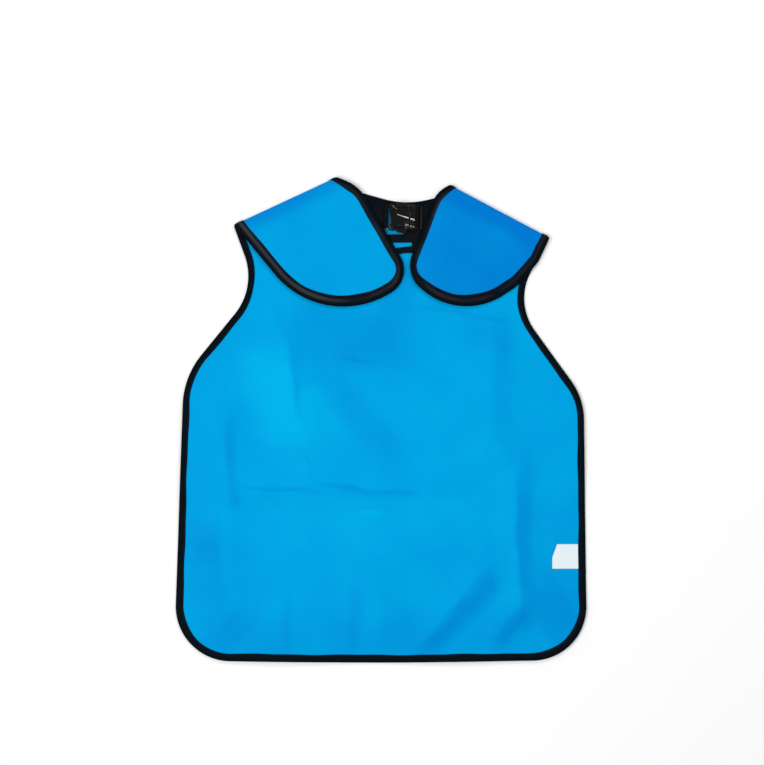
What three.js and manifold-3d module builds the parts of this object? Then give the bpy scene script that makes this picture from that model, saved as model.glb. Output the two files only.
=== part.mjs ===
// A lead x-ray apron for dental patients, lying flat with its front up and its shoulder flaps folded forward.
// Millimetres, +Z up, +Y towards the neck, +X to the right of someone looking at the front.
// The origin is under the middle of the apron, on the surface that it lies on.
import * as THREE from "three";
import { mergeVertices } from "three/addons/utils/BufferGeometryUtils.js";
import Module from "manifold-3d";

const wasm = await Module();
wasm.setup();

// Thicknesses and clearances
const SHEET = 2.4; // lead rubber between its two coated covers
const TAPE = 0.7; // binding tape
const WEBBING = 1.2; // neck strap
const LOOP_TAPE = 1.0; // hanging loop
const LABEL = 0.5;
const GAP = 0.3; // between pieces that lie on each other
const TAPE_GAP = 0.4; // between the binding and the sheet that it wraps
const SHEET_INSET = 2.5; // from the outer edge of the binding to the cut edge of the sheet

// The binding's two legs: the front one shows on the panel, the wider back one on the folded flaps
const FRONT_LEG = 9;
const BACK_LEG = 12;

// The sheet's edge lies on its own binding, and the sheet comes down to the surface further in
const EDGE_LIFT = TAPE + TAPE_GAP;
const EDGE_SHELF = 48;
const EDGE_RAMP = 45;
const PANEL_TOP = EDGE_LIFT + SHEET;
const BINDING_TOP = PANEL_TOP + TAPE_GAP + TAPE;

// The shoulder fold: the sheet turns over a small radius, then the flap falls slowly towards its far edge
const FOLD_INSIDE = 1.95;
const FOLD_OUTSIDE = FOLD_INSIDE + SHEET;
const FOLD_MIDDLE = FOLD_INSIDE + SHEET / 2;
const FLAP_FALL = THREE.MathUtils.degToRad(0.5);
const FOLD_TURN = Math.PI + FLAP_FALL;
const FOLD_LENGTH = FOLD_MIDDLE * FOLD_TURN;
const FOLD_CROWN = (FOLD_MIDDLE * Math.PI) / 2; // length along the sheet to the fold's outermost line
const FOLD_STEPS = 8;
const FLAP_LENGTH = 190;
const FLAP_MARGIN = 60; // how far the uncut flap reaches past both ends of its fold

// Corners of the outer edge of the binding, going round with the sheet on the left, each rounded by its radius
const HEM_CORNERS = [
  { at: "left_armhole", x: -182, y: 193, radius: 88 },
  { at: "left_hip", x: -288, y: 63, radius: 120 },
  { at: "left_hem", x: -302.8, y: -352, radius: 80 },
  { at: "middle_hem", x: 0, y: -355.5, radius: 3000 },
  { at: "right_hem", x: 301, y: -351, radius: 80 },
  { at: "right_hip", x: 296, y: 31, radius: 100 },
  { at: "right_armhole", x: 195, y: 171, radius: 80 },
];
const NECKLINE_CORNERS = [
  { at: "right_neck", x: 88, y: 325.5, radius: 14 },
  { at: "middle_neck", x: 35, y: 313, radius: 130 },
  { at: "left_neck", x: -35, y: 333, radius: 25 },
];
const SHOULDERS = {
  left: {
    from: { x: -214.6, y: 284 },
    to: { x: -65.2, y: 353.4 },
    flap: [
      { at: "neck_turn", x: -32.6, y: 340.7, radius: 58 },
      { at: "tip", x: 48.2, y: 204, radius: 38.5 },
      { at: "lower_edge", x: -86, y: 128, radius: 129 },
    ],
  },
  right: {
    from: { x: 100.5, y: 342.3 },
    to: { x: 246, y: 265 },
    flap: [
      { at: "outer_turn", x: 229, y: 229, radius: 36 },
      { at: "side_turn", x: 198, y: 194, radius: 60 },
      { at: "lower_edge", x: 118, y: 142, radius: 98 },
      { at: "tip", x: 33.6, y: 211, radius: 44 },
      { at: "neck_turn", x: 80.6, y: 330.5, radius: 40 },
    ],
  },
};

// Swells, creases and lifted edges of the panel: a ridge along a line, falling away on both sides over its reach
const RIDGES = [
  { name: "packing_fold", x0: -205, y0: -98, x1: 60, y1: -110, reach: 38, height: 3.5 },
  { name: "left_fold", x0: -232, y0: 10, x1: -230, y1: -100, reach: 45, height: 4 },
  { name: "left_swell", x0: -138, y0: 112, x1: -117, y1: -38, reach: 60, height: 5 },
  { name: "right_fold", x0: 200, y0: -68, x1: 202, y1: -275, reach: 39, height: 5 },
  { name: "right_swell", x0: 160, y0: 98, x1: 162, y1: -42, reach: 52, height: 4 },
  { name: "corner_crease", x0: 156, y0: -222, x1: 84, y1: -298, reach: 38, height: 4 },
  { name: "outer_crease", x0: 205, y0: -275, x1: 176, y1: -302, reach: 36, height: 3 },
  { name: "middle_swell", x0: -4, y0: -205, x1: -2, y1: -285, reach: 50, height: 3 },
  { name: "low_left_swell", x0: -240, y0: -165, x1: -238, y1: -270, reach: 44, height: 3.5 },
  { name: "left_hem_wave", x0: -150, y0: -440, x1: -150, y1: -370, reach: 140, height: 5 },
  { name: "right_hem_wave", x0: 120, y0: -440, x1: 120, y1: -370, reach: 130, height: 4 },
  { name: "right_corner_curl", x0: 335, y0: -385, x1: 335, y1: -385, reach: 160, height: 7 },
  { name: "left_side_wave", x0: -345, y0: -70, x1: -345, y1: -10, reach: 130, height: 5 },
  { name: "right_side_wave", x0: 345, y0: -30, x1: 345, y1: 20, reach: 120, height: 4.5 },
];

// The uncut panel is a grid of this size and number of cells, with its top margin past the shoulders
const PANEL_WIDTH = 624;
const PANEL_HEIGHT = 730;
const PANEL_COLUMNS = 26;
const PANEL_ROWS = 30;

// Sampling of the edges, in millimetres along them and in radians of turn
const EDGE_STEP = 30;
const EDGE_TURN = 0.2;
const SMALL_TURN = Math.PI / 6; // on the webbing's bends and the buckle's corners
const SHORTEST_LINE = 0.03; // shorter ones are left over by rounding

// How far a cutting block reaches past the faces of the buckle, and how high the outlines that cut the cloth stand
const CUT_PAST = 1;
const CUT_HEIGHT = 40;

// Neckline facing: the front leg of the neckline's tape, which reaches down to the strap's edge
const FACING_LOW = 310;
const FACING_SHORTEST = 5;
const FACING_LONGEST = 18;

// Neck strap and its buckle, whose bar end is on the left
const STRAP_WIDTH = 30;
const STRAP_Y = 294.3;
const STRAP_Z = PANEL_TOP + GAP + WEBBING / 2;
const LEFT_STRAP_END = -62;
const RIGHT_STRAP_END = 124;
const STRAP_ROUND = 0.8;
const BUCKLE_X = 5.7;
const BUCKLE_Z = BINDING_TOP + GAP;

// Buckle socket: lengths run from its bar end, widths are half widths, heights are above its underside
const SOCKET_LENGTH = 36;
const SOCKET_HEIGHT = 10.5;
const SOCKET_BEVEL = 1.2;
const SOCKET_SIDE = [
  { along: 0, half: 18, radius: 4 },
  { along: 7, half: 18.4, radius: 5 },
  { along: 12, half: 19.6, radius: 6 },
  { along: SOCKET_LENGTH, half: 18.8, radius: 3 },
];
const SOCKET_BAR = { length: 3, slot: 4.5, low: 0.4, high: 3.6 };
const SOCKET_SLOT_HALF = 15.5;
const SOCKET_ROOM = { from: 13, half: 15.5, low: 2, high: 8.5 };
const SOCKET_WINDOW = { from: 16.5, to: 30, half: 12 };

// Buckle plug: two sprung arms and a middle tongue in the socket, a shoulder, and a ladder for the strap
const PLUG_START = SOCKET_LENGTH + 0.4;
const PLUG_LENGTH = 54.4;
const PLUG_ARMS = { low: 2.4, high: 8.1 };
const PLUG_SHOULDER = { to: 42.6, half: 18.2, low: 0.9, high: 9.6 };
const PLUG_LADDER = { from: 41.6, half: 17.4, low: 0.4, high: 5.2, slotHalf: 15.5, slots: [42.8, 48.4], slot: 3.2 };
const PLUG_BAR = { from: 46, to: 48.4 };
const PLUG_SIDE = [
  { along: PLUG_START + 3, half: 16, radius: 1 },
  { along: PLUG_START, half: 14.8, radius: 0.6 },
  { along: 29.4, half: 14.7, radius: 0.5 },
  { along: 29.4, half: 20.1, radius: 1.6 },
  { along: 20, half: 20.3, radius: 4 },
  { along: 17, half: 15, radius: 2 },
  { along: 18, half: 11.6, radius: 1.4 },
  { along: PLUG_START - 1, half: 10.2, radius: 1 },
  { along: PLUG_START - 1, half: 4, radius: 1 },
  { along: 16, half: 3.2, radius: 1.6 },
];

// Hanging loop: two runs of tape across the gap between the flaps, the lower one rising to the turn on the right
const LOOP = {
  left: -12,
  right: 57,
  turn: 12,
  low: 239.5,
  high: 270,
  slitLow: 248.5,
  slitHigh: 258,
  rise: 5,
  radius: 6,
  slitRadius: 2,
};

// Side label, cut off slanting at its upper left corner, with its right edge at the binding
const LABEL_LEFT = 250;
const LABEL_RIGHT = 288.4;
const LABEL_LOW = -218;
const LABEL_HIGH = -182;
const LABEL_SLANT = { width: 7, height: 20 };

// A path of straight lines, joined by tangent arcs at the corners of a list that have a radius
function roundedPath(corners) {
  const path = new THREE.Path();
  path.moveTo(corners[0].x, corners[0].y);
  for (let i = 1; i < corners.length; i += 1) {
    const { x, y, radius } = corners[i];
    if (!radius) {
      path.lineTo(x, y);
      continue;
    }
    const corner = new THREE.Vector2(x, y);
    const back = new THREE.Vector2(corners[i - 1].x, corners[i - 1].y).sub(corner).normalize();
    const ahead = new THREE.Vector2(corners[i + 1].x, corners[i + 1].y).sub(corner).normalize();
    const half = Math.acos(THREE.MathUtils.clamp(back.dot(ahead), -1, 1)) / 2;
    const middle = back.clone().add(ahead).normalize();
    const centre = corner.clone().addScaledVector(middle, radius / Math.sin(half));
    const start = corner.clone().addScaledVector(back, radius / Math.tan(half)).sub(centre);
    const end = corner.clone().addScaledVector(ahead, radius / Math.tan(half)).sub(centre);
    path.lineTo(centre.x + start.x, centre.y + start.y);
    path.absarc(centre.x, centre.y, radius, start.angle(), end.angle(), back.cross(ahead) > 0);
  }
  return path;
}

// Points along a path with the direction to its left, no further apart than the step there and the turn allow
function samplePath(path, turn = EDGE_TURN, stepAt = () => EDGE_STEP) {
  const samples = [];
  const sample = (curve, u) => {
    const tangent = curve.getTangentAt(u);
    samples.push({ point: curve.getPointAt(u), left: new THREE.Vector2(-tangent.y, tangent.x) });
  };
  const curves = path.curves.filter((curve) => curve.getLength() > SHORTEST_LINE);
  for (const curve of curves) {
    const length = curve.getLength();
    const bend = curve.isEllipseCurve ? length / curve.xRadius : 0;
    const step = stepAt(curve.getPointAt(0.5));
    const count = Math.max(1, Math.ceil(length / step), Math.ceil(bend / turn));
    for (let k = 0; k < count; k += 1) sample(curve, k / count);
  }
  sample(curves[curves.length - 1], 1);
  return samples;
}

// A sample whose left direction is turned to run along a fold and still reaches as far in
function mitre({ point, left }, fold) {
  return { point, left: fold.clone().divideScalar(fold.dot(left)) };
}

// The samples' points moved to the left
function inset(samples, distance) {
  return samples.map(({ point, left }) => point.clone().addScaledVector(left, distance));
}

// A box of the given numbers of cells whose vertices are moved by place(u, v, w), all from 0 to 1
function mappedBox(columns, rows, place) {
  const geometry = new THREE.BoxGeometry(1, 1, 1, columns, rows, 1);
  const position = geometry.attributes.position;
  for (let i = 0; i < position.count; i += 1) {
    const at = place(position.getX(i) + 0.5, position.getY(i) + 0.5, position.getZ(i) + 0.5);
    position.setXYZ(i, at.x, at.y, at.z);
  }
  return geometry;
}

// A closed solid for cutting and joining, with its shared vertices merged and its faces pointing out
function solidOf(geometry) {
  const bare = geometry.clone();
  bare.deleteAttribute("normal");
  bare.deleteAttribute("uv");
  const merged = mergeVertices(bare, 1e-4);
  const vertProperties = merged.attributes.position.array;
  const triVerts = Uint32Array.from(merged.index.array);
  const solid = new wasm.Manifold(new wasm.Mesh({ numProp: 3, vertProperties, triVerts }));
  if (solid.volume() > 0) return solid;
  return new wasm.Manifold(new wasm.Mesh({ numProp: 3, vertProperties, triVerts: triVerts.reverse() }));
}

function geometryOf(solid) {
  const { vertProperties, triVerts } = solid.getMesh();
  const geometry = new THREE.BufferGeometry();
  geometry.setAttribute("position", new THREE.BufferAttribute(vertProperties, 3));
  geometry.setIndex(new THREE.BufferAttribute(triVerts, 1));
  geometry.computeVertexNormals();
  return geometry;
}

// An outline pushed straight up from one height to another
function prism(points, low, high) {
  const geometry = new THREE.ExtrudeGeometry(new THREE.Shape(points), { depth: high - low, bevelEnabled: false });
  return solidOf(geometry.translate(0, 0, low));
}

function block(x0, x1, y0, y1, z0, z1) {
  const geometry = new THREE.BoxGeometry(x1 - x0, y1 - y0, z1 - z0);
  return solidOf(geometry.translate((x0 + x1) / 2, (y0 + y1) / 2, (z0 + z1) / 2));
}

// A shoulder's own frame: s along the fold from its left end, out past the fold, up; out is 0 where the bend starts.
// Its flap's edge is in the sheet's own flat terms, s along the fold and a along the sheet from that start, and
// runs straight on over the fold at both ends, so that it crosses the fold's outermost line at the ends given.
function shoulderFrame({ from, to, flap }) {
  const along = new THREE.Vector2(to.x - from.x, to.y - from.y);
  const length = along.length();
  along.normalize();
  const out = new THREE.Vector2(-along.y, along.x);
  const start = new THREE.Vector2(from.x, from.y).addScaledVector(out, -FOLD_OUTSIDE);
  const matrix = new THREE.Matrix4().makeBasis(
    new THREE.Vector3(along.x, along.y, 0),
    new THREE.Vector3(out.x, out.y, 0),
    new THREE.Vector3(0, 0, 1),
  );
  matrix.setPosition(start.x, start.y, 0);
  const onSheet = (corner) => {
    const offset = new THREE.Vector2(corner.x, corner.y).sub(start);
    const fallen = (offset.dot(out) + FOLD_MIDDLE * Math.sin(FLAP_FALL)) / Math.cos(FLAP_FALL);
    return { x: offset.dot(along), y: FOLD_LENGTH - fallen, radius: corner.radius };
  };
  const corners = flap.map(onSheet);
  const startOfEdge = (corner, crossing) => {
    const slant = (crossing - corner.x) / (corner.y - FOLD_CROWN);
    return { x: corner.x + slant * (corner.y - GAP), y: GAP };
  };
  const right = startOfEdge(corners[0], length);
  const left = startOfEdge(corners[corners.length - 1], 0);
  const bendStart = ({ x }) => start.clone().addScaledVector(along, x);
  return { length, along, matrix, edge: [right, ...corners, left], left: bendStart(left), right: bendStart(right) };
}

// The folded sheet's middle seen along the fold, a length a from where the bend starts: straight, round, straight
function foldProfile(a) {
  const turn = THREE.MathUtils.clamp(a / FOLD_MIDDLE, 0, FOLD_TURN);
  const straight = a - turn * FOLD_MIDDLE;
  return {
    out: FOLD_MIDDLE * Math.sin(turn) + straight * Math.cos(turn),
    up: FOLD_MIDDLE * (1 - Math.cos(turn)) + straight * Math.sin(turn),
    turn,
  };
}

// A point of a folded shoulder, at s along the fold, a along the sheet and t from its middle towards the front face
function onShoulder(shoulder, s, a, t) {
  const { out, up, turn } = foldProfile(a);
  const height = EDGE_LIFT + SHEET / 2 + up + t * Math.cos(turn);
  return new THREE.Vector3(s, out - t * Math.sin(turn), height).applyMatrix4(shoulder.matrix);
}

// Height of a ridge at a distance from its line: a smooth hump that ends level
function hump(distance, { reach, height }) {
  const share = distance / reach;
  return share < 1 ? height * (1 - share * share) ** 2 : 0;
}

function distanceToLine(x, y, x0, y0, x1, y1) {
  const squared = (x1 - x0) ** 2 + (y1 - y0) ** 2;
  const share = squared > 0 ? ((x - x0) * (x1 - x0) + (y - y0) * (y1 - y0)) / squared : 0;
  const near = THREE.MathUtils.clamp(share, 0, 1);
  return Math.hypot(x - x0 - near * (x1 - x0), y - y0 - near * (y1 - y0));
}

const leftShoulder = shoulderFrame(SHOULDERS.left);
const rightShoulder = shoulderFrame(SHOULDERS.right);

// An edge of the panel from one fold to the other, mitred along the folds at its ends
function panelEdge(start, startFold, corners, end, endFold) {
  const samples = samplePath(roundedPath([start, ...corners, end]));
  return [mitre(samples[0], startFold), ...samples.slice(1, -1), mitre(samples[samples.length - 1], endFold)];
}

const { along: leftFold } = leftShoulder;
const { along: rightFold } = rightShoulder;
const hemEdge = panelEdge(leftShoulder.left, leftFold, HEM_CORNERS, rightShoulder.right, rightFold);
const necklineEdge = panelEdge(rightShoulder.left, rightFold, NECKLINE_CORNERS, leftShoulder.right, leftFold);
const facedEdge = necklineEdge.map((sample, i) => {
  if (i === 0 || i === necklineEdge.length - 1) return sample;
  const reach = (sample.point.y - FACING_LOW) / -sample.left.y;
  return { ...sample, frontLeg: THREE.MathUtils.clamp(reach, FACING_SHORTEST, FACING_LONGEST) };
});
const panelOutline = [...inset(hemEdge, SHEET_INSET), ...inset(necklineEdge, SHEET_INSET)];

// Height of the panel's underside: a shelf along its edges, the bare surface further in, and the ridges on top
function panelLift(x, y) {
  let edge = Infinity;
  panelOutline.forEach((point, i) => {
    const next = panelOutline[(i + 1) % panelOutline.length];
    edge = Math.min(edge, distanceToLine(x, y, point.x, point.y, next.x, next.y));
  });
  const shelf = 1 - THREE.MathUtils.smoothstep(edge, EDGE_SHELF, EDGE_SHELF + EDGE_RAMP);
  const ridges = RIDGES.map((ridge) => hump(distanceToLine(x, y, ridge.x0, ridge.y0, ridge.x1, ridge.y1), ridge));
  return EDGE_LIFT * shelf + ridges.reduce((sum, height) => sum + height, 0);
}

function onPanel(x, y, t) {
  return new THREE.Vector3(x, y, panelLift(x, y) + SHEET / 2 + t);
}

// The edge of a flap, with short steps over the bend, each mitred along the fold
function flapEdge({ edge }) {
  const [right, ...corners] = edge;
  const left = corners.pop();
  const past = (end, next) => {
    const share = (FOLD_LENGTH - end.y) / (next.y - end.y);
    return { x: end.x + share * (next.x - end.x), y: FOLD_LENGTH };
  };
  const overRight = past(right, corners[0]);
  const overLeft = past(left, corners[corners.length - 1]);
  const path = roundedPath([right, overRight, ...corners, overLeft, left]);
  const fold = new THREE.Vector2(1, 0);
  const stepAt = ({ y }) => (y < FOLD_LENGTH ? FOLD_LENGTH / FOLD_STEPS : EDGE_STEP);
  const samples = samplePath(path, EDGE_TURN, stepAt);
  return samples.map((sample) => (sample.point.y > FOLD_LENGTH ? sample : mitre(sample, fold)));
}

// A flap: the folded sheet, uncut, then cut to its outline, and straight over the bend where the edge is furthest in
function flapSolid(shoulder) {
  const lengths = [-SHEET_INSET];
  for (let k = 0; k <= FOLD_STEPS; k += 1) lengths.push((FOLD_LENGTH * k) / FOLD_STEPS);
  lengths.push(FOLD_LENGTH + FLAP_LENGTH);
  const face = (t) =>
    lengths.map((a) => {
      const { out, up, turn } = foldProfile(a);
      return new THREE.Vector2(out - t * Math.sin(turn), EDGE_LIFT + SHEET / 2 + up + t * Math.cos(turn));
    });
  const outline = new THREE.Shape([...face(-SHEET / 2), ...face(SHEET / 2).reverse()]);
  const folded = new THREE.ExtrudeGeometry(outline, {
    depth: shoulder.length + 2 * FLAP_MARGIN,
    bevelEnabled: false,
  });
  const toFrame = new THREE.Matrix4().makeBasis(
    new THREE.Vector3(0, 1, 0),
    new THREE.Vector3(0, 0, 1),
    new THREE.Vector3(1, 0, 0),
  );
  folded.applyMatrix4(toFrame).translate(-FLAP_MARGIN, 0, 0);
  const edge = inset(flapEdge(shoulder), SHEET_INSET);
  const flat = FOLD_LENGTH + SHEET_INSET;
  const plan = edge.filter(({ y }) => y > flat).map(({ x, y }) => new THREE.Vector2(x, foldProfile(y).out));
  const bend = edge.filter(({ y }) => y <= flat).map(({ x }) => x);
  const left = Math.max(...bend.filter((x) => x < shoulder.length / 2));
  const right = Math.min(...bend.filter((x) => x > shoulder.length / 2));
  const past = 2 * FOLD_OUTSIDE;
  plan.unshift(new THREE.Vector2(right, past), new THREE.Vector2(right, foldProfile(flat).out));
  plan.push(new THREE.Vector2(left, foldProfile(flat).out), new THREE.Vector2(left, past));
  const cut = solidOf(folded).intersect(prism(plan, 0, CUT_HEIGHT));
  return solidOf(geometryOf(cut).applyMatrix4(shoulder.matrix));
}

// The whole cover: the panel with its swells, cut to its outline, and both flaps in one piece with it
function coverSheet() {
  const uncut = mappedBox(PANEL_COLUMNS, PANEL_ROWS, (u, v, w) =>
    onPanel((u - 0.5) * PANEL_WIDTH, (v - 0.5) * PANEL_HEIGHT, (w - 0.5) * SHEET),
  );
  const panel = solidOf(uncut).intersect(prism(panelOutline, -CUT_PAST, CUT_HEIGHT));
  return geometryOf(panel.add(flapSolid(leftShoulder)).add(flapSolid(rightShoulder)));
}

// A tape folded round the sheet's edge: front leg, turn, back leg, placed on the sheet by place(x, y, t)
function bindingTape(samples, place) {
  const outside = SHEET / 2 + TAPE_GAP + TAPE;
  const last = 3;
  const tape = mappedBox(last, samples.length - 1, (u, v, w) => {
    const { point, left, frontLeg = FRONT_LEG } = samples[Math.round(v * (samples.length - 1))];
    const row = Math.round(u * last);
    const leg = [frontLeg, 0, 0, BACK_LEG][row];
    const side = row < 2 ? 1 : -1;
    const depth = w > 0.5 ? leg : Math.max(leg, TAPE);
    const at = point.clone().addScaledVector(left, depth);
    return place(at.x, at.y, side * (w > 0.5 ? outside : outside - TAPE));
  });
  return geometryOf(solidOf(tape));
}

// Webbing bent along a path seen from the side, x along it and y up, and as wide as the strap
function webbing(corners) {
  const samples = samplePath(roundedPath(corners), SMALL_TURN);
  const shape = new THREE.Shape([...inset(samples, WEBBING / 2), ...inset(samples, -WEBBING / 2).reverse()]);
  const geometry = new THREE.ExtrudeGeometry(shape, { depth: STRAP_WIDTH, bevelEnabled: false });
  return geometryOf(solidOf(geometry.rotateX(Math.PI / 2).translate(0, STRAP_Y + STRAP_WIDTH / 2, 0)));
}

// The left strap runs under the socket's bar, up through its slot, over the bar and down to itself
function leftStrap() {
  const clear = GAP + WEBBING / 2;
  const bar = { left: BUCKLE_X - clear, right: BUCKLE_X + SOCKET_BAR.length + clear };
  const top = BUCKLE_Z + SOCKET_BAR.high + clear;
  return webbing([
    { x: LEFT_STRAP_END, y: STRAP_Z },
    { x: bar.right, y: STRAP_Z, radius: STRAP_ROUND },
    { x: bar.right, y: top, radius: STRAP_ROUND },
    { x: bar.left, y: top, radius: STRAP_ROUND },
    { x: bar.left, y: STRAP_Z + WEBBING / 2 + GAP },
  ]);
}

// The right strap runs under the plug's end bar, up through the outer slot, over the middle bar and down again
function rightStrap() {
  const clear = GAP + WEBBING / 2;
  const bar = { left: BUCKLE_X + PLUG_BAR.from - clear, right: BUCKLE_X + PLUG_BAR.to + clear };
  const top = BUCKLE_Z + PLUG_LADDER.high + clear;
  return webbing([
    { x: RIGHT_STRAP_END, y: STRAP_Z },
    { x: bar.right, y: STRAP_Z, radius: STRAP_ROUND },
    { x: bar.right, y: top, radius: STRAP_ROUND },
    { x: bar.left, y: top, radius: STRAP_ROUND },
    { x: bar.left, y: BUCKLE_Z + PLUG_LADDER.low },
  ]);
}

// A list of half widths along the buckle made into the corners of both sides, closed in the middle of its start
function bothSides(side) {
  const low = side.map(({ along, half, radius }) => ({ x: along, y: -half, radius }));
  const high = side.map(({ along, half, radius }) => ({ x: along, y: half, radius })).reverse();
  const seam = { x: side[0].along, y: 0 };
  return samplePath(roundedPath([seam, ...low, ...high, seam]), SMALL_TURN).map(({ point }) => point);
}

function buckleSocket() {
  const shape = new THREE.Shape(bothSides(SOCKET_SIDE).slice(0, -1));
  const body = new THREE.ExtrudeGeometry(shape, {
    depth: SOCKET_HEIGHT - 2 * SOCKET_BEVEL,
    bevelThickness: SOCKET_BEVEL,
    bevelSize: SOCKET_BEVEL,
    bevelOffset: -SOCKET_BEVEL,
    bevelSegments: 1,
  });
  const wide = 2 * SOCKET_ROOM.half;
  const bar = SOCKET_BAR;
  const barEnd = bar.length + bar.slot;
  const room = SOCKET_ROOM;
  return solidOf(body.translate(0, 0, SOCKET_BEVEL))
    .subtract(block(-CUT_PAST, barEnd, -wide, wide, bar.high, SOCKET_HEIGHT + CUT_PAST))
    .subtract(block(-CUT_PAST, barEnd, -wide, wide, -CUT_PAST, bar.low))
    .subtract(block(bar.length, barEnd, -SOCKET_SLOT_HALF, SOCKET_SLOT_HALF, -CUT_PAST, SOCKET_HEIGHT))
    .subtract(block(room.from, SOCKET_LENGTH + CUT_PAST, -room.half, room.half, room.low, room.high))
    .subtract(block(SOCKET_WINDOW.from, SOCKET_WINDOW.to, -wide, -SOCKET_WINDOW.half, room.low, room.high))
    .subtract(block(SOCKET_WINDOW.from, SOCKET_WINDOW.to, SOCKET_WINDOW.half, wide, room.low, room.high));
}

function bucklePlug() {
  const ladder = PLUG_LADDER;
  const shoulder = PLUG_SHOULDER;
  const arms = prism(bothSides(PLUG_SIDE).slice(0, -1), PLUG_ARMS.low, PLUG_ARMS.high);
  const frame = [
    { along: ladder.from, half: ladder.half, radius: 1 },
    { along: PLUG_LENGTH, half: ladder.half, radius: 4 },
  ];
  const grip = [
    { along: PLUG_START, half: shoulder.half, radius: 2 },
    { along: shoulder.to, half: shoulder.half, radius: 2 },
  ];
  let plug = arms
    .add(prism(bothSides(frame).slice(0, -1), ladder.low, ladder.high))
    .add(prism(bothSides(grip).slice(0, -1), shoulder.low, shoulder.high));
  for (const slot of ladder.slots) {
    const through = block(slot, slot + ladder.slot, -ladder.slotHalf, ladder.slotHalf, -CUT_PAST, SOCKET_HEIGHT);
    plug = plug.subtract(through);
  }
  return plug;
}

function hangingLoop() {
  const { left, right, turn, low, high, slitLow, slitHigh, rise, radius, slitRadius } = LOOP;
  const inner = right - turn;
  const corners = [
    { x: left, y: low },
    { x: right, y: low + rise, radius },
    { x: right, y: high, radius },
    { x: left, y: high },
    { x: left, y: slitHigh },
    { x: inner, y: slitHigh, radius: slitRadius },
    { x: inner, y: slitLow + rise, radius: slitRadius },
    { x: left, y: slitLow },
  ];
  const outline = samplePath(roundedPath(corners)).map(({ point }) => point);
  return geometryOf(prism(outline, PANEL_TOP + GAP, PANEL_TOP + GAP + LOOP_TAPE));
}

function sideLabel() {
  const outline = [
    new THREE.Vector2(LABEL_LEFT, LABEL_LOW),
    new THREE.Vector2(LABEL_RIGHT, LABEL_LOW),
    new THREE.Vector2(LABEL_RIGHT, LABEL_HIGH),
    new THREE.Vector2(LABEL_LEFT + LABEL_SLANT.width, LABEL_HIGH),
    new THREE.Vector2(LABEL_LEFT, LABEL_HIGH - LABEL_SLANT.height),
  ];
  return geometryOf(prism(outline, PANEL_TOP + GAP, PANEL_TOP + GAP + LABEL));
}

function piece(name, geometry, look) {
  const mesh = new THREE.Mesh(geometry, new THREE.MeshStandardMaterial(look));
  mesh.name = name;
  return mesh;
}

const COVER = { color: 0x0297db, roughness: 0.6, metalness: 0 };
const BINDING = { color: 0x11161c, roughness: 0.6, metalness: 0 };
const STRAP = { color: 0x0b0d10, roughness: 0.75, metalness: 0 };
const PLASTIC = { color: 0x060708, roughness: 0.2, metalness: 0 };
const WHITE = { color: 0xe6eef0, roughness: 0.55, metalness: 0 };

function flapBinding(shoulder) {
  return bindingTape(flapEdge(shoulder), (s, a, t) => onShoulder(shoulder, s, a, t));
}

const sheet = new THREE.Group();
sheet.add(
  piece("cover_sheet", coverSheet(), COVER),
  piece("hem_binding", bindingTape(hemEdge, onPanel), BINDING),
  piece("neckline_binding", bindingTape(facedEdge, onPanel), BINDING),
  piece("left_flap_binding", flapBinding(leftShoulder), BINDING),
  piece("right_flap_binding", flapBinding(rightShoulder), BINDING),
  piece("side_label", sideLabel(), WHITE),
);

const buckle = new THREE.Group();
buckle.position.set(BUCKLE_X, STRAP_Y, BUCKLE_Z);
buckle.add(
  piece("buckle_socket", geometryOf(buckleSocket()), PLASTIC),
  piece("buckle_plug", geometryOf(bucklePlug()), PLASTIC),
);

const neck = new THREE.Group();
neck.add(
  piece("left_strap", leftStrap(), STRAP),
  piece("right_strap", rightStrap(), STRAP),
  piece("hanging_loop", hangingLoop(), STRAP),
  buckle,
);

const apron = new THREE.Group();
apron.add(sheet, neck);

export default apron;
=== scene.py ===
# %% [markdown]
# # A lead x-ray apron for dental patients
#
# The apron is one wide sheet: lead rubber between two blue coated covers, with its edge bound in black tape.
# It lies on its back, and the two shoulder flaps are folded forward over the panel. Between them are the neck
# strap's closed buckle and a loop to hang the apron by. The imported model gives every piece's place, so the
# lesson starts by loading it.

# %% The imported model
import math
from functools import partial

import bpy
import numpy as np
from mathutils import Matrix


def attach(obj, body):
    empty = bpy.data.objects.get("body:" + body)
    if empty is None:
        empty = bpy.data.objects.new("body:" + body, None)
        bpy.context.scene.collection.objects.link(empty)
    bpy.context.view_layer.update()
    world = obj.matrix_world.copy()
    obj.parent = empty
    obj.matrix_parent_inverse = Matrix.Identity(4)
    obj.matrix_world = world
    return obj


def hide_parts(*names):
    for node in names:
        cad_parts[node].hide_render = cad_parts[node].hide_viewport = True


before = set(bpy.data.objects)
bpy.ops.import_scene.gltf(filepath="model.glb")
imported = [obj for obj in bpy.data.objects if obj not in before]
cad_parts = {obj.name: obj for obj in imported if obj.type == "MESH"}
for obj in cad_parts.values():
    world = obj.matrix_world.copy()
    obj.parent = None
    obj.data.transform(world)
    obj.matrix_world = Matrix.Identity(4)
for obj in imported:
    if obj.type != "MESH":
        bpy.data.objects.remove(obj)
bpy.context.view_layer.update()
MM = 0.001
print("nodes:", ", ".join(sorted(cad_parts)))

# %% [markdown]
# ## Sizes
#
# All lengths below are in millimetres, as on a cutting table, and are turned to metres when a mesh is made.
# The outline is that of the binding's outer edge, as corners with a radius each, because a pattern cutter draws
# it that way: straight runs joined by arcs.

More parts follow.
